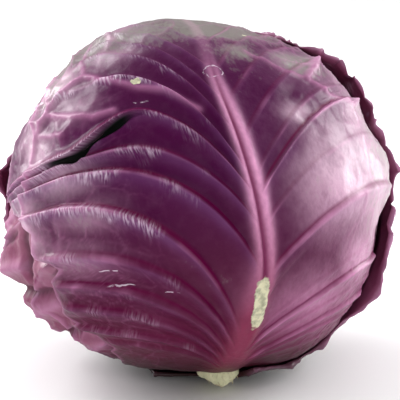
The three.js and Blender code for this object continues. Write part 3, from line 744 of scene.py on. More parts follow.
    def marks(self):
        """Values from 0 to 1 that the material draws its colours from."""
        left, off, along, start = self.left, self.off, self.along, self.start
        pale, film = self.leaf.paleness(self.across, along, self.share)
        # Painted shade in the troughs of the ruffles
        pale = pale * (1 - 0.6 * self.ruffle_shade)
        # Painted light on crumples: paler on the crease ridges as highlights, darker in the pockets
        # between them as shade
        pale = pale * (1 - self.crumple * (0.55 - 0.75 * self.folded - 0.3 * self.crimped))
        vein = self.spread * self.even

        # Crests, broken along their run and fainter low down and near the midrib
        broken = 0.25 + 1.1 * ease(0.3, 0.7, self.noise(11, 61)) * (0.5 + self.noise(3, 62))
        outward = (1 - 0.45 * ease(-20, -50, along)) * (0.3 + 0.7 * ease(24, 52, np.abs(off)))
        broken = broken * np.where(left, outward, 1)
        # Painted sheen: a bluish highlight on the climbing side of each pleat, weaker low down
        sheen = self.rib_above * np.exp(-((self.up / 4.5) ** 2)) * (0.3 + self.noise(9, 71))
        sheen = sheen * (1 - 0.6 * ease(-12, -36, along))

        # Short strokes that run down from the veins: raised a little by bump, and painted pale as
        # glints of the light
        ticks = np.where(left, 1, 0.15) * self.spread * self.noise(8, 21)
        ticks = ticks * (1 - 0.5 * ease(-12, -32, along)) * (0.4 + 0.6 * ease(6, 22, np.abs(off)))
        near = np.exp(-((self.up / (1.5 + 4 * self.noise(3, 31) ** 2)) ** 2)) * self.rib_above
        near = near + np.exp(-((self.down / 1.2) ** 2)) * self.rib_below

        # Crease ridges of the crumples join the net of vein lines, partly as painted highlight
        netted = self.net + self.crumple * ease(0.6, 1, self.folded)
        # Right margin of the front leaf made whiter: partly waxy bloom, partly painted highlight
        rim = ease(0.5, 0.94, self.share) * ease(-44, -8, along) * ease(56, 40, along)
        return {
            "crest": np.clip(np.clip(self.line, 0, 1) * vein * broken + 0.8 * self.stray, 0, 1),
            "sheen": np.clip(sheen, 0, 1) * vein * np.where(left, 1, 0.3),
            "groove": np.exp(-(((self.down - 1.4) / 0.8) ** 2)) * self.rib_below * vein,
            "midrib": self.crest * (0.15 + 0.85 * ease(40, 8, start)),
            "channel": np.exp(-((self.far / 0.33) ** 2)) * ease(-58, -36, start) * ease(40, 10, start),
            "net": np.clip(netted, 0, 1) * (1 - self.crest),
            "edge": ease(0.955, 0.995, self.share) * ease(0.5, 3, self.free),
            "wrinkle": np.clip(near * (ticks - 0.3) * 2.6, 0, 1),
            "pale": pale,
            "film": film,
            "rim": np.where(left, 0, rim),
            "hollow": self.hollow,
            "run": self.run,
            "across": self.across * self.scale,
            "along": along * self.scale,
        }


def row_places(leaf, count):
    """Rows spaced evenly over the middle of each half of the leaf."""
    trial = np.linspace(0, leaf.last, 3000)
    step = np.zeros(len(trial) - 1)
    for off in (-60, -30, 0, 30, 60):
        along = leaf.sheet(trial, np.full(len(trial), float(off)))[1]
        step = np.maximum(step, np.abs(np.diff(along)))
    if leaf.fold:
        closer = np.exp(-(((trial[1:] - leaf.fold["row"] + 0.1) / 0.3) ** 2))
        step = step * (1 + 3 * closer)
    total = np.concatenate([[0], np.cumsum(step + 0.002)])
    rows = np.interp(np.linspace(0, total[-1], count + 1), total, trial)
    if leaf.fold:
        edge = leaf.fold["row"]
        nearest = np.argmin(np.abs(rows - edge))
        rows[nearest] = edge
        rows[nearest - 1] = max(rows[nearest - 1], edge - 0.02)
    return rows


def side_offsets(reach, count):
    """Distances from the midrib to the margin, closer together on the rib."""
    t = np.linspace(0, 1, count + 1)
    rib = min(8, 0.35 * reach)
    return np.where(t < 0.2, t / 0.2 * rib, rib + (reach - rib) * (t - 0.2) / 0.8)


def quads(grid):
    """Faces between neighbouring points of a grid."""
    a, b = grid[:-1, :-1].ravel(), grid[:-1, 1:].ravel()
    c, d = grid[1:, 1:].ravel(), grid[1:, :-1].ravel()
    return np.stack([a, b, c, d], axis=1).tolist()


def new_mesh(name, points, faces, marks):
    """Smooth mesh from points in millimetres, with the marks as attributes."""
    mesh = bpy.data.meshes.new(name)
    mesh.from_pydata((points * MM).tolist(), [], faces)
    mesh.update()
    for key, values in marks.items():
        layer = mesh.attributes.new(key, "FLOAT", "POINT")
        layer.data.foreach_set("value", np.asarray(values, np.float32))
    mesh.shade_smooth()
    return mesh


def sheet_mesh(name, outer, inner, rows, columns, skip, marks):
    """Closed blade: a fine outer face, a coarser inner one and a rim."""
    grid = np.arange(rows * columns).reshape(rows, columns)
    back = np.ix_(np.arange(0, rows, skip), np.arange(0, columns, skip))
    inner = inner.reshape(rows, columns, 3)[back]
    under = len(outer) + np.arange(inner.shape[0] * inner.shape[1]).reshape(inner.shape[:2])
    inner = inner.reshape(-1, 3)
    faces = quads(grid) + [face[::-1] for face in quads(under)]
    edges = [
        (grid[0, :], under[0, :]),
        (grid[:, -1], under[:, -1]),
        (grid[-1, ::-1], under[-1, ::-1]),
        (grid[::-1, 0], under[::-1, 0]),
    ]
    for fine, coarse in edges:
        fine, coarse = fine.tolist(), coarse.tolist()
        for k in range(len(coarse) - 1):
            low, mid = k * skip, k * skip + skip // 2
            for j in range(low, low + skip):
                faces.append((fine[j + 1], fine[j], coarse[k] if j < mid else coarse[k + 1]))
            faces.append((fine[mid], coarse[k], coarse[k + 1]))
    marks = {
        key: np.concatenate([values, values.reshape(rows, columns)[back].ravel()])
        for key, values in marks.items()
    }
    marks["inside"] = np.concatenate([np.zeros(len(outer)), np.ones(len(inner))])
    return new_mesh(name, np.concatenate([outer, inner]), faces, marks)


def signed_volume(mesh):
    """Volume in cubic metres, below zero where the faces point inwards."""
    mesh.calc_loop_triangles()
    count = len(mesh.loop_triangles)
    corners = np.empty(count * 3, dtype=np.int32)
    mesh.loop_triangles.foreach_get("vertices", corners)
    points = np.empty(len(mesh.vertices) * 3)
    mesh.vertices.foreach_get("co", points)
    tri = points.reshape(-1, 3)[corners.reshape(-1, 3)]
    return float(np.einsum("ij,ij->i", tri[:, 0], np.cross(tri[:, 1], tri[:, 2])).sum() / 6)


def add_object(name, data):
    made = bpy.data.objects.new(name, data)
    bpy.context.scene.collection.objects.link(made)
    return made


def finish_piece(name, mesh, node, material):
    """Puts a mesh in the scene as the piece that stands for a CAD node."""
    volume = signed_volume(mesh)
    if volume == 0:
        raise RuntimeError("nothing was built for " + name)
    if volume < 0:
        mesh.flip_normals()
    piece = add_object(name, mesh)
    mesh.materials.clear()
    mesh.materials.append(material)
    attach(piece, "root")
    if node:
        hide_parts(node)
    return piece


def build_leaf(leaf, leaves, rows, columns, skip, material):
    """One finished leaf, with its inner face coarser by the number skipped."""
    places = row_places(leaf, rows)
    row_list, off_list = [], []
    for place in places:
        at = np.array([place])
        left = side_offsets(float(leaf.reach(at, np.array([-1.0]))[0]), columns)
        right = side_offsets(float(leaf.reach(at, np.array([1.0]))[0]), columns)
        off_list.append(np.concatenate([-left[::-1], right[1:]]))
        row_list.append(np.full(2 * columns + 1, place))
    row, off = np.concatenate(row_list), np.concatenate(off_list)
    sheet = Sheet(leaf, leaves, row, off)
    size = (rows + 1, 2 * columns + 1)
    mesh = sheet_mesh(leaf.name, *sheet.points(), *size, skip, sheet.marks())
    return finish_piece("visual_" + leaf.name, mesh, leaf.name, material)


def make_leaves(head, sizes):
    """The four outer leaves, outermost first."""
    blade = sizes.blade_thickness / MM
    right = Leaf(
        head, "leaf_right", 155, LEVELS["right"], plain_veins(82, 73, 74), blade=blade,
        flare=(0, 1), frill=(0, 0.8), frill_count=1.15, sway=1,
        margins={"trimL": RIGHT_TRIM, "ruffleL": RIGHT_RUFFLE},
    )
    front = Leaf(
        head, "leaf_front", 20, LEVELS["front"], FRONT_VEINS, blade=blade,
        bend=1, rib_height=1.9, sway=0.5, bumps=FRONT_BUMPS, fold=FRONT_FOLD,
        margins={"trimL": FRONT_NOTCHES, "ruffleL": FRONT_RUFFLE},
        patches=FRONT_PATCHES, courses=STRAY_VEINS, crumple=FRONT_CRUMPLE,
    )
    back = Leaf(
        head, "leaf_back", -160, LEVELS["back"], plain_veins(98, 74, 80), blade=blade,
        lift=1.4, flare=(0.6, 0), frill=(0.6, 0), frill_count=0.9, sway=0.8,
        margins={"trimR": BACK_TRIM, "ruffleR": BACK_TIP},
    )
    left = Leaf(
        head, "leaf_left", -112, LEVELS["left"], plain_veins(96, 74, 76), blade=blade,
        lift=2.4, rib_height=2.2, flare=(0.3, 0), frill=(0.3, 0), frill_count=0.9,
        bumps=LEFT_BUMPS, courses=LEFT_FOLDS,
    )
    return [right, front, back, left]


def ring_mesh(name, rings, first, last, marks):
    """Closed body from rings of points, with a point at each end."""
    count = len(rings[0])
    grid = np.arange(len(rings) * count).reshape(len(rings), count)
    wrapped = np.concatenate([grid, grid[:, :1]], axis=1)
    faces = quads(wrapped)
    start, end = grid.size, grid.size + 1
    for k in range(count):
        faces.append((start, int(wrapped[0, k + 1]), int(wrapped[0, k])))
        faces.append((end, int(wrapped[-1, k]), int(wrapped[-1, k + 1])))
    return new_mesh(name, np.concatenate([*rings, [first], [last]]), faces, marks)


def beside_axis(head, reach, right, front):
    """Points a way along the stalk's axis and beside it."""
    side = right[:, None] * head.right + front[:, None] * head.front
    return head.middle + head.stem * reach[:, None] + side


def cut_reach(sizes, right, front):
    """How far out the cut lies: slanted, and broken away to both sides."""
    radius = sizes.stub_radius / MM
    left = np.clip((CUT_PEAK - right) / (radius + CUT_PEAK), 0, None)
    past = np.clip((right - CUT_PEAK) / (radius - CUT_PEAK), 0, None)
    reach = sizes.stub_reach / MM + CUT_SLANT * front
    reach = reach - CUT_LEFT_LOSS * left**LEFT_BREAK - CUT_RIGHT_LOSS * past**RIGHT_BREAK
    spot = np.stack([right, front, np.zeros(len(right))], axis=1)
    return reach + 1.1 * (value_noise(spot, 3.1, 5) - 0.5) + 0.5 * (value_noise(spot, 1.1, 6) - 0.5)


def build_stalk(head, sizes, material):
    """The stalk from its broken cut to the top inside the heart."""
    around = np.arange(STALK_SIDES) / STALK_SIDES * 2 * math.pi
    spot = np.stack([np.cos(around) * 4, np.sin(around) * 4, around * 0], axis=1)
    grain = value_noise(spot, 0.5, 8) - 0.5
    wavy = 1 + 0.03 * np.sin(around * 3 + 1)
    rings, cut, outside = [], [], []
    for share in np.linspace(CUT_MIDDLE, 1, CUT_RINGS):
        size = sizes.stub_radius / MM * share * (wavy + 0.05 * grain * share)
        right, front = size * np.sin(around), size * np.cos(around)
        rings.append(beside_axis(head, cut_reach(sizes, right, front), right, front))
        cut.append(np.ones(STALK_SIDES))
        outside.append(np.full(STALK_SIDES, share))
    rim = cut_reach(sizes, right, front) - RIM_DROP
    for share in np.linspace(0, 1, STALK_RINGS) ** 1.4:
        reach = rim + (STALK[1, 0] - rim) * share
        size = np.interp(reach, STALK[:, 0], STALK[:, 1]) * (wavy + 0.05 * grain)
        size = size + 0.5 * (value_noise(spot + share * 14, 1.6, 9) - 0.5)
        rings.append(beside_axis(head, reach, size * np.sin(around), size * np.cos(around)))
        cut.append(np.zeros(STALK_SIDES))
        outside.append(np.clip((SKIN_BELOW - reach) / SKIN_FADE, 0, 1))
    zero = np.zeros(1)
    first = beside_axis(head, cut_reach(sizes, zero, zero), zero, zero)[0]
    last = beside_axis(head, STALK[:1, 0], zero, zero)[0]
    marks = {
        "cut": np.concatenate([*cut, [1, 0]]),
        "outside": np.concatenate([*outside, [0, 1]]),
    }
    mesh = ring_mesh("stalk", rings, first, last, marks)
    return finish_piece("visual_stalk", mesh, "stalk", material)


def build_heart(head, sizes, material):
    """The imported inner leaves, with a well for the stalk and spiral folds."""
    turn = np.arange(HEART_SIDES) / HEART_SIDES * 360
    side = turn * DEG
    level = LEVELS["heart"]
    rings, ribs = [], []
    for reach in np.linspace(STALK[1, 0], sizes.half_length / MM + level - 5, WELL_RINGS):
        radius = np.interp(reach, STALK[:, 0], STALK[:, 1]) * WELL_WIDER + WELL_GAP
        at = np.full(HEART_SIDES, reach)
        rings.append(beside_axis(head, at, radius * np.sin(side), radius * np.cos(side)))
        ribs.append(np.zeros(HEART_SIDES))
    for share in np.linspace(0, 1, HEART_RINGS) ** 0.9:
        from_stem = WELL_EDGE + (HEART_END - WELL_EDGE) * share
        way = head.polar(np.full(HEART_SIDES, from_stem), turn)
        swirl = turn / 360 * HEART_FOLDS + from_stem / 150
        fold = FOLD_HEIGHT * (swirl - np.floor(swirl))
        rib = 0.3 * np.sin(from_stem * 0.9 + 2 * value_noise(way * 80, 12, 13))
        near = ease(WELL_EDGE, 40, from_stem)
        rings.append(head.place(way, level - near * (fold + 0.3 - rib)))
        ribs.append(0.5 + rib)
    well = head.middle + head.stem * (STALK[0, 0] - WELL_GAP - 1)
    crown = head.place(head.polar(np.array([180.0]), np.zeros(1)), level - FOLD_HEIGHT)[0]
    mesh = ring_mesh("heart", rings, well, crown, {"rib": np.concatenate([*ribs, [0, 0.5]])})
    return finish_piece("visual_heart", mesh, "heart", material)


# Materials


class Wire:
    """A shader value that can be added, multiplied and so on."""

    def __init__(self, board, socket):
        self.board, self.socket = board, socket

    def maths(self, operation, *others):
        inputs = {k: value for k, value in enumerate(others)}
        return self.board.node("ShaderNodeMath", {"operation": operation}, inputs)

    def __add__(self, other):
        return self.maths("ADD", self, other)

    def __sub__(self, other):
        return self.maths("SUBTRACT", self, other)

    def __rsub__(self, other):
        return self.maths("SUBTRACT", other, self)

    def __mul__(self, other):
        return self.maths("MULTIPLY", self, other)

    def __truediv__(self, other):
        return self.maths("DIVIDE", self, other)

    def __rtruediv__(self, other):
        return self.maths("DIVIDE", other, self)

    def __pow__(self, other):
        return self.maths("POWER", self, other)

    def __rpow__(self, other):
        return self.maths("POWER", other, self)

    def __neg__(self):
        return self.maths("MULTIPLY", self, -1)

    __radd__ = __add__
    __rmul__ = __mul__


class Nodes:
    """A node tree that is filled by calls."""

    def __init__(self, tree):
        self.tree = tree

    def node(self, kind, settings=None, inputs=None, output=0):
        made = self.tree.nodes.new(kind)
        for key, value in (settings or {}).items():
            if key == "stops":
                self.set_stops(made.color_ramp, value)
            else:
                setattr(made, key, value)
        for key, value in (inputs or {}).items():
            self.feed(made.inputs[key], value)
        return Wire(self, made.outputs[output])

    def feed(self, socket, value):
        if isinstance(value, Wire):
            self.tree.links.new(value.socket, socket)
        elif hasattr(socket.default_value, "__len__") and len(value) == 3:
            size = len(socket.default_value)
            socket.default_value = (*value, 1.0) if size == 4 else value
        else:
            socket.default_value = value

    @staticmethod
    def set_stops(ramp, stops):
        while len(ramp.elements) < len(stops):
            ramp.elements.new(1.0)
        for element, (place, value) in zip(ramp.elements, stops):
            element.position = place
            element.color = (value, value, value, 1)


class Board(Nodes):
    """The node tree of one material, with its surface shader ready."""

    def __init__(self, name):
        self.material = bpy.data.materials.new(name)
        self.material.use_nodes = True
        super().__init__(self.material.node_tree)
        self.surface = self.tree.nodes["Principled BSDF"]

    def mark(self, name):
        return self.node("ShaderNodeAttribute", {"attribute_name": name}, output="Fac")

    def noise(self, scale, detail=2.0, vector=None, rough=0.5):
        inputs = {"Scale": scale, "Detail": detail, "Roughness": rough}
        inputs["Vector"] = vector or self.place()
        return self.node("ShaderNodeTexNoise", {}, inputs)

    def place(self):
        return self.node("ShaderNodeTexCoord", output="Object")

    def height(self):
        return self.node("ShaderNodeSeparateXYZ", {}, {0: self.place()}, output="Z")

    def stretched(self):
        """Coordinates that run out along the veins, for long streaks."""
        across, row = self.mark("run") * 0.0012, self.mark("along") * 0.006
        return self.node("ShaderNodeCombineXYZ", {}, {0: across * 8, 1: row, 2: across})

    def strokes(self, spacing, length):
        """Short strokes across the veins, at uneven distances in millimetres."""
        across, row = self.mark("run") * (1 / spacing), self.mark("along") * (1 / length)
        vector = self.node("ShaderNodeCombineXYZ", {}, {0: across, 1: row})
        return self.ramp(self.noise(1.0, 2, vector), [(0.42, 0), (0.62, 1)])

    def ramp(self, value, stops):
        return self.node("ShaderNodeValToRGB", {"stops": stops}, {"Fac": value})

    def mix(self, share, first, second, blend="MIX"):
        settings = {"data_type": "RGBA", "blend_type": blend, "clamp_factor": True}
        return self.node("ShaderNodeMix", settings, {0: share, 6: first, 7: second}, output=2)

    def contrasted(self, colour, gamma, gain):
        """Deepens dark colours and keeps light ones about as they are."""
        darker = self.node("ShaderNodeGamma", {}, {"Color": colour, "Gamma": gamma})
        return self.node("ShaderNodeHueSaturation", {}, {"Color": darker, "Value": gain})

    def bump(self, height, strength, distance, under=None):
        inputs = {"Height": height, "Strength": strength, "Distance": distance}
        if under:
            inputs["Normal"] = under
        return self.node("ShaderNodeBump", {}, inputs)

    def finish(self, **inputs):
        for key, value in inputs.items():
            self.feed(self.surface.inputs[key.replace("_", " ")], value)
        return self.material


class Growth(Nodes):
    """A geometry tree with named inputs, run once and kept as a plain mesh."""

    def __init__(self, name, inputs):
        self.name = name
        self.inputs = inputs
        super().__init__(bpy.data.node_groups.new(name, "GeometryNodeTree"))
        for key, (kind, _) in inputs.items():
            self.tree.interface.new_socket(key, in_out="INPUT", socket_type=kind)
        self.tree.interface.new_socket("Result", in_out="OUTPUT", socket_type="NodeSocketGeometry")
        self.inlet = self.tree.nodes.new("NodeGroupInput")
        self.outlet = self.tree.nodes.new("NodeGroupOutput")

    def given(self, key):
        return Wire(self, self.inlet.outputs[key])

    def random(self, low, high, seed):
        """A random number for each point."""
        settings = {"data_type": "FLOAT"}
        return self.node("FunctionNodeRandomValue", settings, {2: low, 3: high, "Seed": seed}, 1)

    def random_vector(self, low, high, seed):
        settings = {"data_type": "FLOAT_VECTOR"}
        return self.node("FunctionNodeRandomValue", settings, {0: low, 1: high, "Seed": seed})

    def grow(self, geometry):
        real = self.node("GeometryNodeRealizeInstances", {}, {0: geometry})
        painted = {"Geometry": real, "Material": self.given("Material")}
        self.feed(self.outlet.inputs[0], self.node("GeometryNodeSetMaterial", {}, painted))
        host = add_object(self.name, bpy.data.meshes.new(self.name))
        modifier = host.modifiers.new(self.name, "NODES")
        modifier.node_group = self.tree
        for item in self.tree.interface.items_tree:
            if item.in_out == "INPUT":
                modifier[item.identifier] = self.inputs[item.name][1]
        bpy.context.view_layer.update()
        evaluated = host.evaluated_get(bpy.context.evaluated_depsgraph_get())
        mesh = bpy.data.meshes.new_from_object(evaluated)
        host.modifiers.clear()
        bpy.data.objects.remove(host)
        if not mesh.polygons:
            raise RuntimeError("the " + self.name + " tree made nothing")
        return mesh


def stem_ring(name, count, radius, inputs, material):
    """A tree's start: a ring of points on the cut, in the stem's own axes."""
    inputs = {
        "Count": ("NodeSocketInt", count),
        "Ring radius": ("NodeSocketFloat", radius * MM),
        "Seed": ("NodeSocketInt", GROWTH_SEED),
        "Material": ("NodeSocketMaterial", material),
        **inputs,
    }
    g = Growth(name, inputs)
    circle = {"Vertices": g.given("Count"), "Radius": g.given("Ring radius")}
    ring = g.node("GeometryNodeMeshCircle", {"fill_type": "NONE"}, circle)
    where = g.node("GeometryNodeInputPosition")
    right = g.node("ShaderNodeSeparateXYZ", {}, {0: where}, output="X")
    front = g.node("ShaderNodeSeparateXYZ", {}, {0: where}, output="Y")
    return g, ring, right, front


def turned_to_stem(g, head, geometry):
    """Turns a tree's stem axes into the head's and moves it to the middle."""
    turn = Matrix((head.right, head.front, head.stem)).transposed().to_euler()
    inputs = {"Geometry": geometry, "Translation": tuple(head.middle * MM), "Rotation": turn}
    return g.node("GeometryNodeTransform", {}, inputs)


def set_on_cut(g, sizes, ring, right, front, jitter, sink):
    """Moves the ring's points onto the slanted cut, with a little scatter."""
    radius, peak = sizes.stub_radius, CUT_PEAK * MM
    largest = {"operation": "MAXIMUM"}
    left = g.node("ShaderNodeMath", largest, {0: (peak - right) / (radius + peak), 1: 0.0})
    past = g.node("ShaderNodeMath", largest, {0: (right - peak) / (radius - peak), 1: 0.0})
    drop = left**LEFT_BREAK * (CUT_LEFT_LOSS * MM) + past**RIGHT_BREAK * (CUT_RIGHT_LOSS * MM)
    high = front * CUT_SLANT - drop + (sizes.stub_reach - sink * MM)
    up = g.node("ShaderNodeCombineXYZ", {}, {2: high})
    far = jitter * MM
    spread = g.random_vector((-far, -far, 0.0), (far, far, 0.0), g.given("Seed"))
    offset = g.node("ShaderNodeVectorMath", {"operation": "ADD"}, {0: up, 1: spread})
    return g.node("GeometryNodeSetPosition", {}, {"Geometry": ring, "Offset": offset})


def strand_mesh(head, sizes, material):
    """The ring of woody strands that shows as dots on a cut stem."""
    inputs = {"Dot radius": ("NodeSocketFloat", STRAND_RADIUS * MM)}
    g, ring, right, front = stem_ring("strands", STRANDS, STRAND_RING, inputs, material)
    points = set_on_cut(g, sizes, ring, right, front, jitter=0.4, sink=0.1)
    ball = {"Radius": g.given("Dot radius"), "Subdivisions": 3}
    dot = g.node("GeometryNodeMeshIcoSphere", {}, ball)
    size = g.random(0.6, 1.2, g.given("Seed"))
    flat = g.node("ShaderNodeCombineXYZ", {}, {0: size, 1: size, 2: 0.7})
    inputs = {"Points": points, "Instance": dot, "Scale": flat}
    return g.grow(turned_to_stem(g, head, g.node("GeometryNodeInstanceOnPoints", {}, inputs)))


def fibre_mesh(head, sizes, material):
    """Torn fibres that stand round the edge of the cut."""
    inputs = {
        "Fibre length": ("NodeSocketFloat", FIBRE_LENGTH * MM),
        "Fibre radius": ("NodeSocketFloat", FIBRE_RADIUS * MM),
    }
    g, ring, right, front = stem_ring("fibres", FIBRES, FIBRE_RING, inputs, material)
    points = set_on_cut(g, sizes, ring, right, front, jitter=0.3, sink=1.4)
    fibre = g.node("GeometryNodeMeshCone", {}, {
        "Vertices": 8,
        "Side Segments": 4,
        "Radius Top": FIBRE_TIP * MM,
        "Radius Bottom": g.given("Fibre radius"),
        "Depth": g.given("Fibre length"),
    })
    lean = g.random_vector((-0.35, -0.35, 0.0), (0.35, 0.35, 6.28), g.given("Seed"))
    length = g.random(0.4, 1.2, g.given("Seed") + 1)
    scale = g.node("ShaderNodeCombineXYZ", {}, {0: 1.0, 1: 1.0, 2: length})
    inputs = {"Points": points, "Instance": fibre, "Rotation": lean, "Scale": scale}
    return g.grow(turned_to_stem(g, head, g.node("GeometryNodeInstanceOnPoints", {}, inputs)))


class LeafBoard(Board):
    """A leaf's board, with the noises that its layers share."""

    def __init__(self, name, paint, marked):
        super().__init__(name)
        self.paint, self.marked = paint, marked
        self.cloud = self.noise(24, 3)
        self.mottle = self.noise(150, 4, rough=0.6)
        self.grain = self.noise(900, 3)
        self.streak = self.noise(60, 3, self.stretched())

    def blade(self, deep, pale):
        """Deep between the veins, pale towards the margin and rosy low down."""
        rosy = 1.0 if self.marked else 0.3
        low = self.mark("along") * -0.008 + 0.1 + (self.cloud - 0.5) * 0.2
        low = self.ramp(low, [(0.1, 0), (0.75, 1)])
        deep = self.mix(low * rosy, deep, self.paint.rose_deep)
        pale = self.mix(low * rosy, pale, self.paint.rose_pale)
        patchy = self.cloud * 0.9 + self.noise(75, 3) * 0.8 + self.streak * 0.6 - 0.1
        tone = self.mark("pale") * patchy + (self.mottle - 0.48) * 0.12
        return self.mix(tone, deep, pale)

    def film(self):
        """How much grey waxy film covers each place."""
        cover = self.mark("film") + (self.cloud - 0.5) * 1.1 + (self.streak - 0.5) * 0.8
        return self.ramp(cover + (self.mottle - 0.5) * 0.6, [(0.32, 0), (0.8, 1)])

    def blotches(self):
        """Uneven places where the right margin is painted white: partly waxy bloom, partly a painted
        highlight of the light from the right.
        """
        cover = self.cloud + (self.streak - 0.5) * 0.9 + (self.mottle - 0.5) * 0.4
        return self.ramp(cover, [(0.36, 0), (0.5, 1)])

    # Painted shade: leaves turn near black within about 2 cm of the floor
    def painted_floor_shade(self):
        high = self.height() * 40 + (self.mottle - 0.5) * 0.3
        return self.ramp(high, [(0.1, 1), (0.9, 0)])

    def midrib(self):
        up = self.ramp(self.mark("along") * 0.008 + 0.62, [(0.1, 0), (0.5, 1)])
        return self.mix(up, self.paint.rib_foot, self.paint.midrib)


def leaf_material(name, paint, deep, pale, film_share, marked=False):
    """Waxy purple leaf: deep between the ribs, lilac on them, with a grey film.

    A marked leaf also has the whiter right margin (partly waxy bloom, partly a painted highlight), and
    the scars and flakes of the front one.
    """
    b = LeafBoard(name, paint, marked)
    film = b.film()
    lines = b.strokes(0.9, 5)
    # Places outside the painted crease shade keep their strokes and gloss
    open_part = 1 - b.mark("hollow")
    wrinkle = b.mark("wrinkle") * open_part
    layers = [(film * film_share * (1 - (b.mark("crest") + b.mark("net")) * 0.6), paint.bloom)]
    if marked:
        # Whiter right margin: partly waxy bloom, partly painted highlight
        layers.append((b.mark("rim") * b.blotches() * 0.9, paint.rim))
    layers += [
        # Painted sheen on the pleats
        (b.mark("sheen") * 0.45, paint.sheen),
        (b.mark("groove") * 0.85, paint.groove),
        (b.mark("net") * (0.3 if marked else 0.12), paint.vein),
        (b.mark("crest") * 0.7, paint.vein),
        (b.mark("edge") * 0.4, paint.vein),
        (b.mark("midrib") * (0.9 + (b.streak - 0.5) * 0.5), b.midrib()),
        (b.mark("channel") * 0.85, paint.groove),
        (b.mark("inside") * 0.6, paint.inner_face),
        # Painted shade near the floor
        (b.painted_floor_shade() * 0.92, paint.shade),
        # Painted glints on the strokes across the ribs
        (wrinkle * lines * 0.75, paint.glint_and_flake),
        # Painted shade in the slit and the creases
        (b.mark("hollow") * 0.97, paint.hollow),
    ]
    colour = b.blade(deep, pale)
    for share, coat in layers:
        colour = b.mix(share, colour, coat)
    normal = b.bump(lines * wrinkle, 0.6, 0.0008)
    normal = b.bump(b.mottle, 0.35, 0.0014, normal)
    normal = b.bump(b.grain, 0.2, 0.0002, normal)
    rough = 0.36 + film * 0.2 + (b.mottle - 0.5) * 0.14
    if marked:
        colour, rough, normal = scarred(b, b.contrasted(colour, 1.17, 1.13), rough, normal)
    gloss = (b.mark("pale") * 0.6 + 0.05) * open_part
    return b.finish(
        Base_Color=colour, Roughness=rough, Normal=normal, Coat_Weight=gloss,
        Specular_IOR_Level=0.05, Coat_Roughness=0.26,
    )


def scarred(b, colour, rough, normal):
    """Adds dry scars and thin flakes, rough and a little raised."""
    paint = b.paint
    scar = patches_mask(b, SCARS)
    dry = b.ramp(b.noise(420, 3), [(0.42, 0), (0.66, 1)])
    colour = b.mix(scar, colour, b.mix(dry, paint.scar, paint.scar_shade))
    flake = patches_mask(b, FLAKES) * b.ramp(b.noise(420, 2), [(0.42, 0), (0.55, 0.8)])
    colour = b.mix(flake, colour, paint.glint_and_flake)
    return colour, rough + scar * 0.35, b.bump(scar * (0.4 + b.grain), 0.5, 0.0008, normal)


def patches_mask(b, places):
    """Mask of ragged patches, each filled or with its rim alone."""
    ragged = (b.noise(300, 4) - 0.5) * 1.5
    across = b.mark("across") + (b.noise(160, 2) - 0.5) * 2.4
    along = b.mark("along") + (b.noise(190, 2) - 0.5) * 2.4
    total = 0.0
    for x, y, wide, tall, rim_only in places:
        u = (across - x * DEGREE_RUN) * (1 / (wide * DEGREE_RUN))
        v = (along - y * DEGREE_RUN) * (1 / (tall * DEGREE_RUN))
        power = 2 if rim_only else 4
        away = (u**power + v**power) ** (1 / power) + ragged * min(1, 1.7 / wide)
        total = b.ramp(away * 0.5, RIM_STOPS if rim_only else FILLED_STOPS) + total
    return total


def stalk_material(paint):
    """Cut cabbage stem: pale green-cream, browned in spots, purple at the skin."""
    b = Board("cut_stem")
    patch = b.noise(150, 4, rough=0.6)
    fibre = b.noise(900, 3)
    colour = b.mix(b.ramp(patch, [(0.35, 0), (0.7, 1)]), paint.stem, paint.stem_shade)
    skin = b.ramp(b.mark("outside") * (1 - b.mark("cut")) + (patch - 0.5) * 1.4, [(0.25, 0), (0.5, 1)])
    colour = b.mix(skin * 0.8, colour, paint.rib_foot)
    colour = b.mix(b.ramp(fibre, [(0.55, 0), (0.8, 1)]) * 0.5, colour, paint.stem_brown)
    rim = b.ramp(b.mark("outside") * b.mark("cut"), [(0.8, 0), (0.97, 1)])
    colour = b.mix(rim * (patch + 0.1), colour, paint.stem_brown)
    normal = b.bump(patch, 0.5, 0.0014)
    normal = b.bump(fibre, 0.35, 0.0005, normal)
    return b.finish(Base_Color=colour, Roughness=0.6 + (fibre - 0.5) * 0.2, Normal=normal,
                    Specular_IOR_Level=0.2)


def strand_material(paint):
    """Woody strands and torn fibres: straw, darker at random."""
    b = Board("stem_fibre")
    patch = b.noise(500, 3)
    colour = b.mix(patch, paint.stem, paint.stem_brown)
    return b.finish(Base_Color=colour, Roughness=0.7 + (patch - 0.5) * 0.2,
                    Normal=b.bump(patch, 0.4, 0.0003), Specular_IOR_Level=0.1)


def heart_material(paint):
    """Packed inner leaves: purple folds with paler ribs."""
    b = Board("heart_skin")
    cloud = b.noise(30, 3)
    grain = b.noise(400, 3)
    colour = b.mix(b.mark("rib") * 0.6 + (cloud - 0.5) * 0.5, paint.deep, paint.left_pale)
    return b.finish(Base_Color=colour, Roughness=0.45 + (cloud - 0.5) * 0.2,
                    Normal=b.bump(grain, 0.3, 0.0005), Specular_IOR_Level=0.1)


def plain_material(name, colour, roughness):
    b = Board(name)
    cloud = b.noise(3, 2)
    return b.finish(Base_Color=b.mix(cloud * 0.04, colour, (0.8, 0.8, 0.8)), Roughness=roughness)


# Settings


def colour_property(name, description, value):
    return FloatVectorProperty(
        name=name, description=description, default=value, subtype="COLOR", size=3, min=0, max=1
    )


def length_property(name, description, value):
    return FloatProperty(name=name, description=description, default=value, unit="LENGTH")


def angle_property(name, description, degrees):
    return FloatProperty(
        name=name, description=description, default=degrees * DEG, unit="ROTATION", subtype="ANGLE"
    )


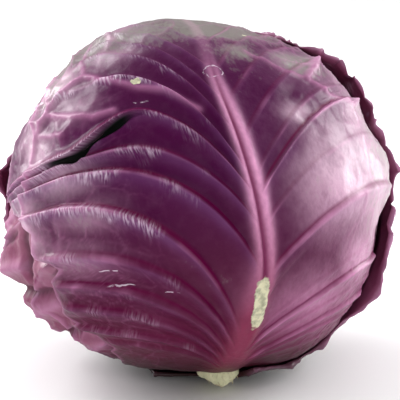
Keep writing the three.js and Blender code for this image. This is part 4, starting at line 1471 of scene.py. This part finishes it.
class CabbageSizes(bpy.types.PropertyGroup):
    """Sizes of the head and how it lies"""

    head_radius: length_property("Head radius", "Middle to the widest part", 0.080)
    half_length: length_property("Half length", "Middle to the stem end", 0.075)
    middle_height: length_property("Middle height", "Floor to the middle", 0.0765)
    stem_tilt: angle_property("Stem tilt", "Stem from straight down to the front", 24)
    stem_lean: angle_property("Stem lean", "Stem from straight down to the right", 8)
    blade_thickness: length_property("Blade", "Thickness of a leaf between ribs", 0.0009)
    stub_reach: length_property("Stub reach", "Middle to the cut", 0.081)
    stub_radius: length_property("Stub radius", "Radius of the cut", 0.0075)
    rows: IntProperty(name="Rows", description="Rows of the front leaf", default=296)
    columns: IntProperty(name="Columns", description="Columns each side", default=148)


class CabbageColours(bpy.types.PropertyGroup):
    """Colours of the leaves and the cut stem"""

    deep: colour_property("Deep purple", "Blade between the ribs", (0.084, 0.003, 0.060))
    pale: colour_property("Lilac", "Blade towards the margins", (0.60, 0.42, 0.52))
    rose_deep: colour_property("Rose", "Blade low down near the stem", (0.112, 0.016, 0.046))
    rose_pale: colour_property("Pale rose", "Paler places low down", (0.58, 0.22, 0.42))
    back_deep: colour_property("Back leaf purple", "Outer leaves behind", (0.075, 0.007, 0.036))
    back_pale: colour_property("Back leaf lilac", "Their margins", (0.31, 0.115, 0.225))
    left_deep: colour_property("Pink leaf", "Folded leaf on the left", (0.20, 0.035, 0.09))
    left_pale: colour_property("Pink leaf lilac", "Its margins", (0.46, 0.20, 0.29))
    # Partly waxy bloom and partly painted highlight on the right margin
    rim: colour_property("Rim", "Waxy white places near the right margin", (0.60, 0.59, 0.55))
    groove: colour_property("Groove", "Behind each rib", (0.150, 0.001, 0.060))
    # Painted highlight colour of the sheen on each pleat
    sheen: colour_property("Sheen", "Bluish sheen on each pleat", (0.23, 0.10, 0.25))
    # Painted glint colour of the strokes across the ribs, also the colour of the real flakes
    glint_and_flake: colour_property("Sparkle", "Dry strokes across the ribs", (0.72, 0.58, 0.70))
    vein: colour_property("Vein", "Side veins and their net", (0.56, 0.25, 0.43))
    midrib: colour_property("Midrib", "Midrib of a leaf", (0.82, 0.42, 0.64))
    bloom: colour_property("Bloom", "Waxy film", (0.245, 0.240, 0.212))
    rib_foot: colour_property("Rib foot", "Midrib near the stem", (0.26, 0.045, 0.10))
    # Painted shade colour for the leaves near the floor
    shade: colour_property("Underside", "Dull leaf near the ground", (0.030, 0.016, 0.011))
    scar: colour_property("Scar", "Scraped and dried places", (0.72, 0.69, 0.48))
    scar_shade: colour_property("Scar shade", "Greyer parts of a scar", (0.38, 0.38, 0.27))
    inner_face: colour_property("Inner face", "Inner face of a leaf", (0.18, 0.02, 0.06))
    # Painted shade colour for the slit under the fold and the deep creases
    hollow: colour_property("Hollow", "Deep slits", (0.006, 0.012, 0.008))
    stem: colour_property("Stem", "Cut stem", (0.82, 0.79, 0.53))
    stem_shade: colour_property("Stem shade", "Greener parts of the stem", (0.58, 0.60, 0.36))
    stem_brown: colour_property("Stem brown", "Dried fibres", (0.26, 0.17, 0.08))


class CabbageStage(bpy.types.PropertyGroup):
    """Camera, floor and light"""

    distance: length_property("Camera distance", "Camera to the head's middle", 0.8)
    elevation: angle_property("Elevation", "Camera above the horizon", 15)
    lens: FloatProperty(name="Lens", description="Focal length in millimetres", default=170)
    aim_right: length_property("Aim right", "Aim point right of the middle", 0.003)
    aim_down: length_property("Aim down", "Aim point below the middle", 0.003)
    floor: colour_property("Floor", "Colour of the floor", (0.93, 0.93, 0.93))
    world: FloatProperty(name="Sky light", description="Strength of the even light", default=0.45)


class CABBAGE_OT_leaves(bpy.types.Operator):
    """Build the four outer leaves"""

    bl_idname = "cabbage.leaves"
    bl_label = "Outer leaves"

    def execute(self, context):
        sizes, paint = context.scene.cabbage_sizes, context.scene.cabbage_colours
        head = Head(sizes)
        leaves = make_leaves(head, sizes)
        skins = {
            "leaf_front": (paint.deep, paint.pale, 0.8, True),
            "leaf_right": (paint.back_deep, paint.back_pale, 0.3),
            "leaf_back": (paint.back_deep, paint.back_pale, 0.6),
            "leaf_left": (paint.left_deep, paint.left_pale, 0.3),
        }
        for leaf in leaves:
            skin = leaf_material(leaf.name + "_skin", paint, *skins[leaf.name])
            front = leaf.name == "leaf_front"
            rows = sizes.rows if front else sizes.rows * 3 // 4
            columns = sizes.columns if front else sizes.columns // 4 * 3
            build_leaf(leaf, leaves, rows // 4 * 4, columns // 2 * 2, 4, skin)
        return {"FINISHED"}


class CABBAGE_OT_heart(bpy.types.Operator):
    """Build the dense heart inside the outer leaves"""

    bl_idname = "cabbage.heart"
    bl_label = "Heart"

    def execute(self, context):
        sizes, paint = context.scene.cabbage_sizes, context.scene.cabbage_colours
        build_heart(Head(sizes), sizes, heart_material(paint))
        return {"FINISHED"}


class CABBAGE_OT_stalk(bpy.types.Operator):
    """Build the cut stub and the stalk inside"""

    bl_idname = "cabbage.stalk"
    bl_label = "Stalk"

    def execute(self, context):
        sizes, paint = context.scene.cabbage_sizes, context.scene.cabbage_colours
        head = Head(sizes)
        build_stalk(head, sizes, stalk_material(paint))
        straw = strand_material(paint)
        for name, mesh in (
            ("visual_stem_strands", strand_mesh(head, sizes, straw)),
            ("visual_stem_fibres", fibre_mesh(head, sizes, straw)),
        ):
            finish_piece(name, mesh, None, straw)
        return {"FINISHED"}


class CABBAGE_OT_stage(bpy.types.Operator):
    """Set up the floor, the lights and the camera"""

    bl_idname = "cabbage.stage"
    bl_label = "Stage"

    def execute(self, context):
        stage, sizes = context.scene.cabbage_stage, context.scene.cabbage_sizes
        make_floor(stage)
        make_lights(context.scene, stage, sizes)
        make_camera(context.scene, stage, sizes)
        return {"FINISHED"}


def make_floor(stage):
    mesh = bpy.data.meshes.new("floor")
    half = FLOOR_HALF
    corners = [(-half, -half), (half, -half), (half, half), (-half, half)]
    mesh.from_pydata([(x, y, -FLOOR_BELOW) for x, y in corners], [], [(0, 1, 2, 3)])
    floor = add_object("floor", mesh)
    mesh.materials.append(plain_material("floor_paint", tuple(stage.floor), 0.9))


def add_light(name, place, aim, size, watts):
    data = bpy.data.lights.new(name, "AREA")
    data.shape = "RECTANGLE"
    data.size, data.size_y = size
    data.energy = watts
    light = add_object(name, data)
    light.location = place
    light.rotation_euler = (Vector(aim) - Vector(place)).to_track_quat("-Z", "Y").to_euler()


def make_lights(scene, stage, sizes):
    """Soft panels and an even pale sky."""
    for name, (place, aim, size, watts) in LIGHTS.items():
        add_light(name, place, aim or (0, 0, sizes.middle_height), size, watts)
    world = bpy.data.worlds.new("pale_studio")
    world.use_nodes = True
    sky = world.node_tree.nodes["Background"]
    sky.inputs["Color"].default_value = (1, 1, 1, 1)
    sky.inputs["Strength"].default_value = stage.world
    scene.world = world
    scene.view_settings.view_transform = "Standard"


def make_camera(scene, stage, sizes):
    """Camera in front, a little above the head and aimed near its middle."""
    lift = stage.elevation
    back = Vector((0, -math.cos(lift), math.sin(lift)))
    up = Vector((0, math.sin(lift), math.cos(lift)))
    aim = Vector((stage.aim_right, 0, sizes.middle_height)) - up * stage.aim_down
    data = bpy.data.cameras.new("camera")
    data.lens = stage.lens
    data.sensor_width = 36
    camera = add_object("camera", data)
    camera.location = aim + back * stage.distance
    camera.rotation_euler = (-back).to_track_quat("-Z", "Y").to_euler()
    scene.camera = camera


class CABBAGE_PT_panel(bpy.types.Panel):
    """Lists the steps of the cabbage"""

    bl_label = "Red Cabbage"
    bl_idname = "CABBAGE_PT_panel"
    bl_space_type = "VIEW_3D"
    bl_region_type = "UI"
    bl_category = "Cabbage"

    def draw(self, context):
        for group in ("cabbage_sizes", "cabbage_colours", "cabbage_stage"):
            settings = getattr(context.scene, group)
            box = self.layout.box()
            for key in settings.__annotations__:
                box.prop(settings, key)
        for operator in OPERATORS:
            self.layout.operator(operator.bl_idname)


GROUPS = {
    "cabbage_sizes": CabbageSizes,
    "cabbage_colours": CabbageColours,
    "cabbage_stage": CabbageStage,
}
OPERATORS = (CABBAGE_OT_leaves, CABBAGE_OT_heart, CABBAGE_OT_stalk, CABBAGE_OT_stage)


def register():
    for cls in (*GROUPS.values(), *OPERATORS, CABBAGE_PT_panel):
        bpy.utils.register_class(cls)
    for name, group in GROUPS.items():
        setattr(bpy.types.Scene, name, PointerProperty(type=group))


def unregister():
    for name in GROUPS:
        delattr(bpy.types.Scene, name)
    for cls in (CABBAGE_PT_panel, *reversed(OPERATORS), *GROUPS.values()):
        bpy.utils.unregister_class(cls)


def main():
    register()
    bpy.ops.cabbage.leaves()
    bpy.ops.cabbage.heart()
    bpy.ops.cabbage.stalk()
    bpy.ops.cabbage.stage()


if __name__ == "__main__":
    main()
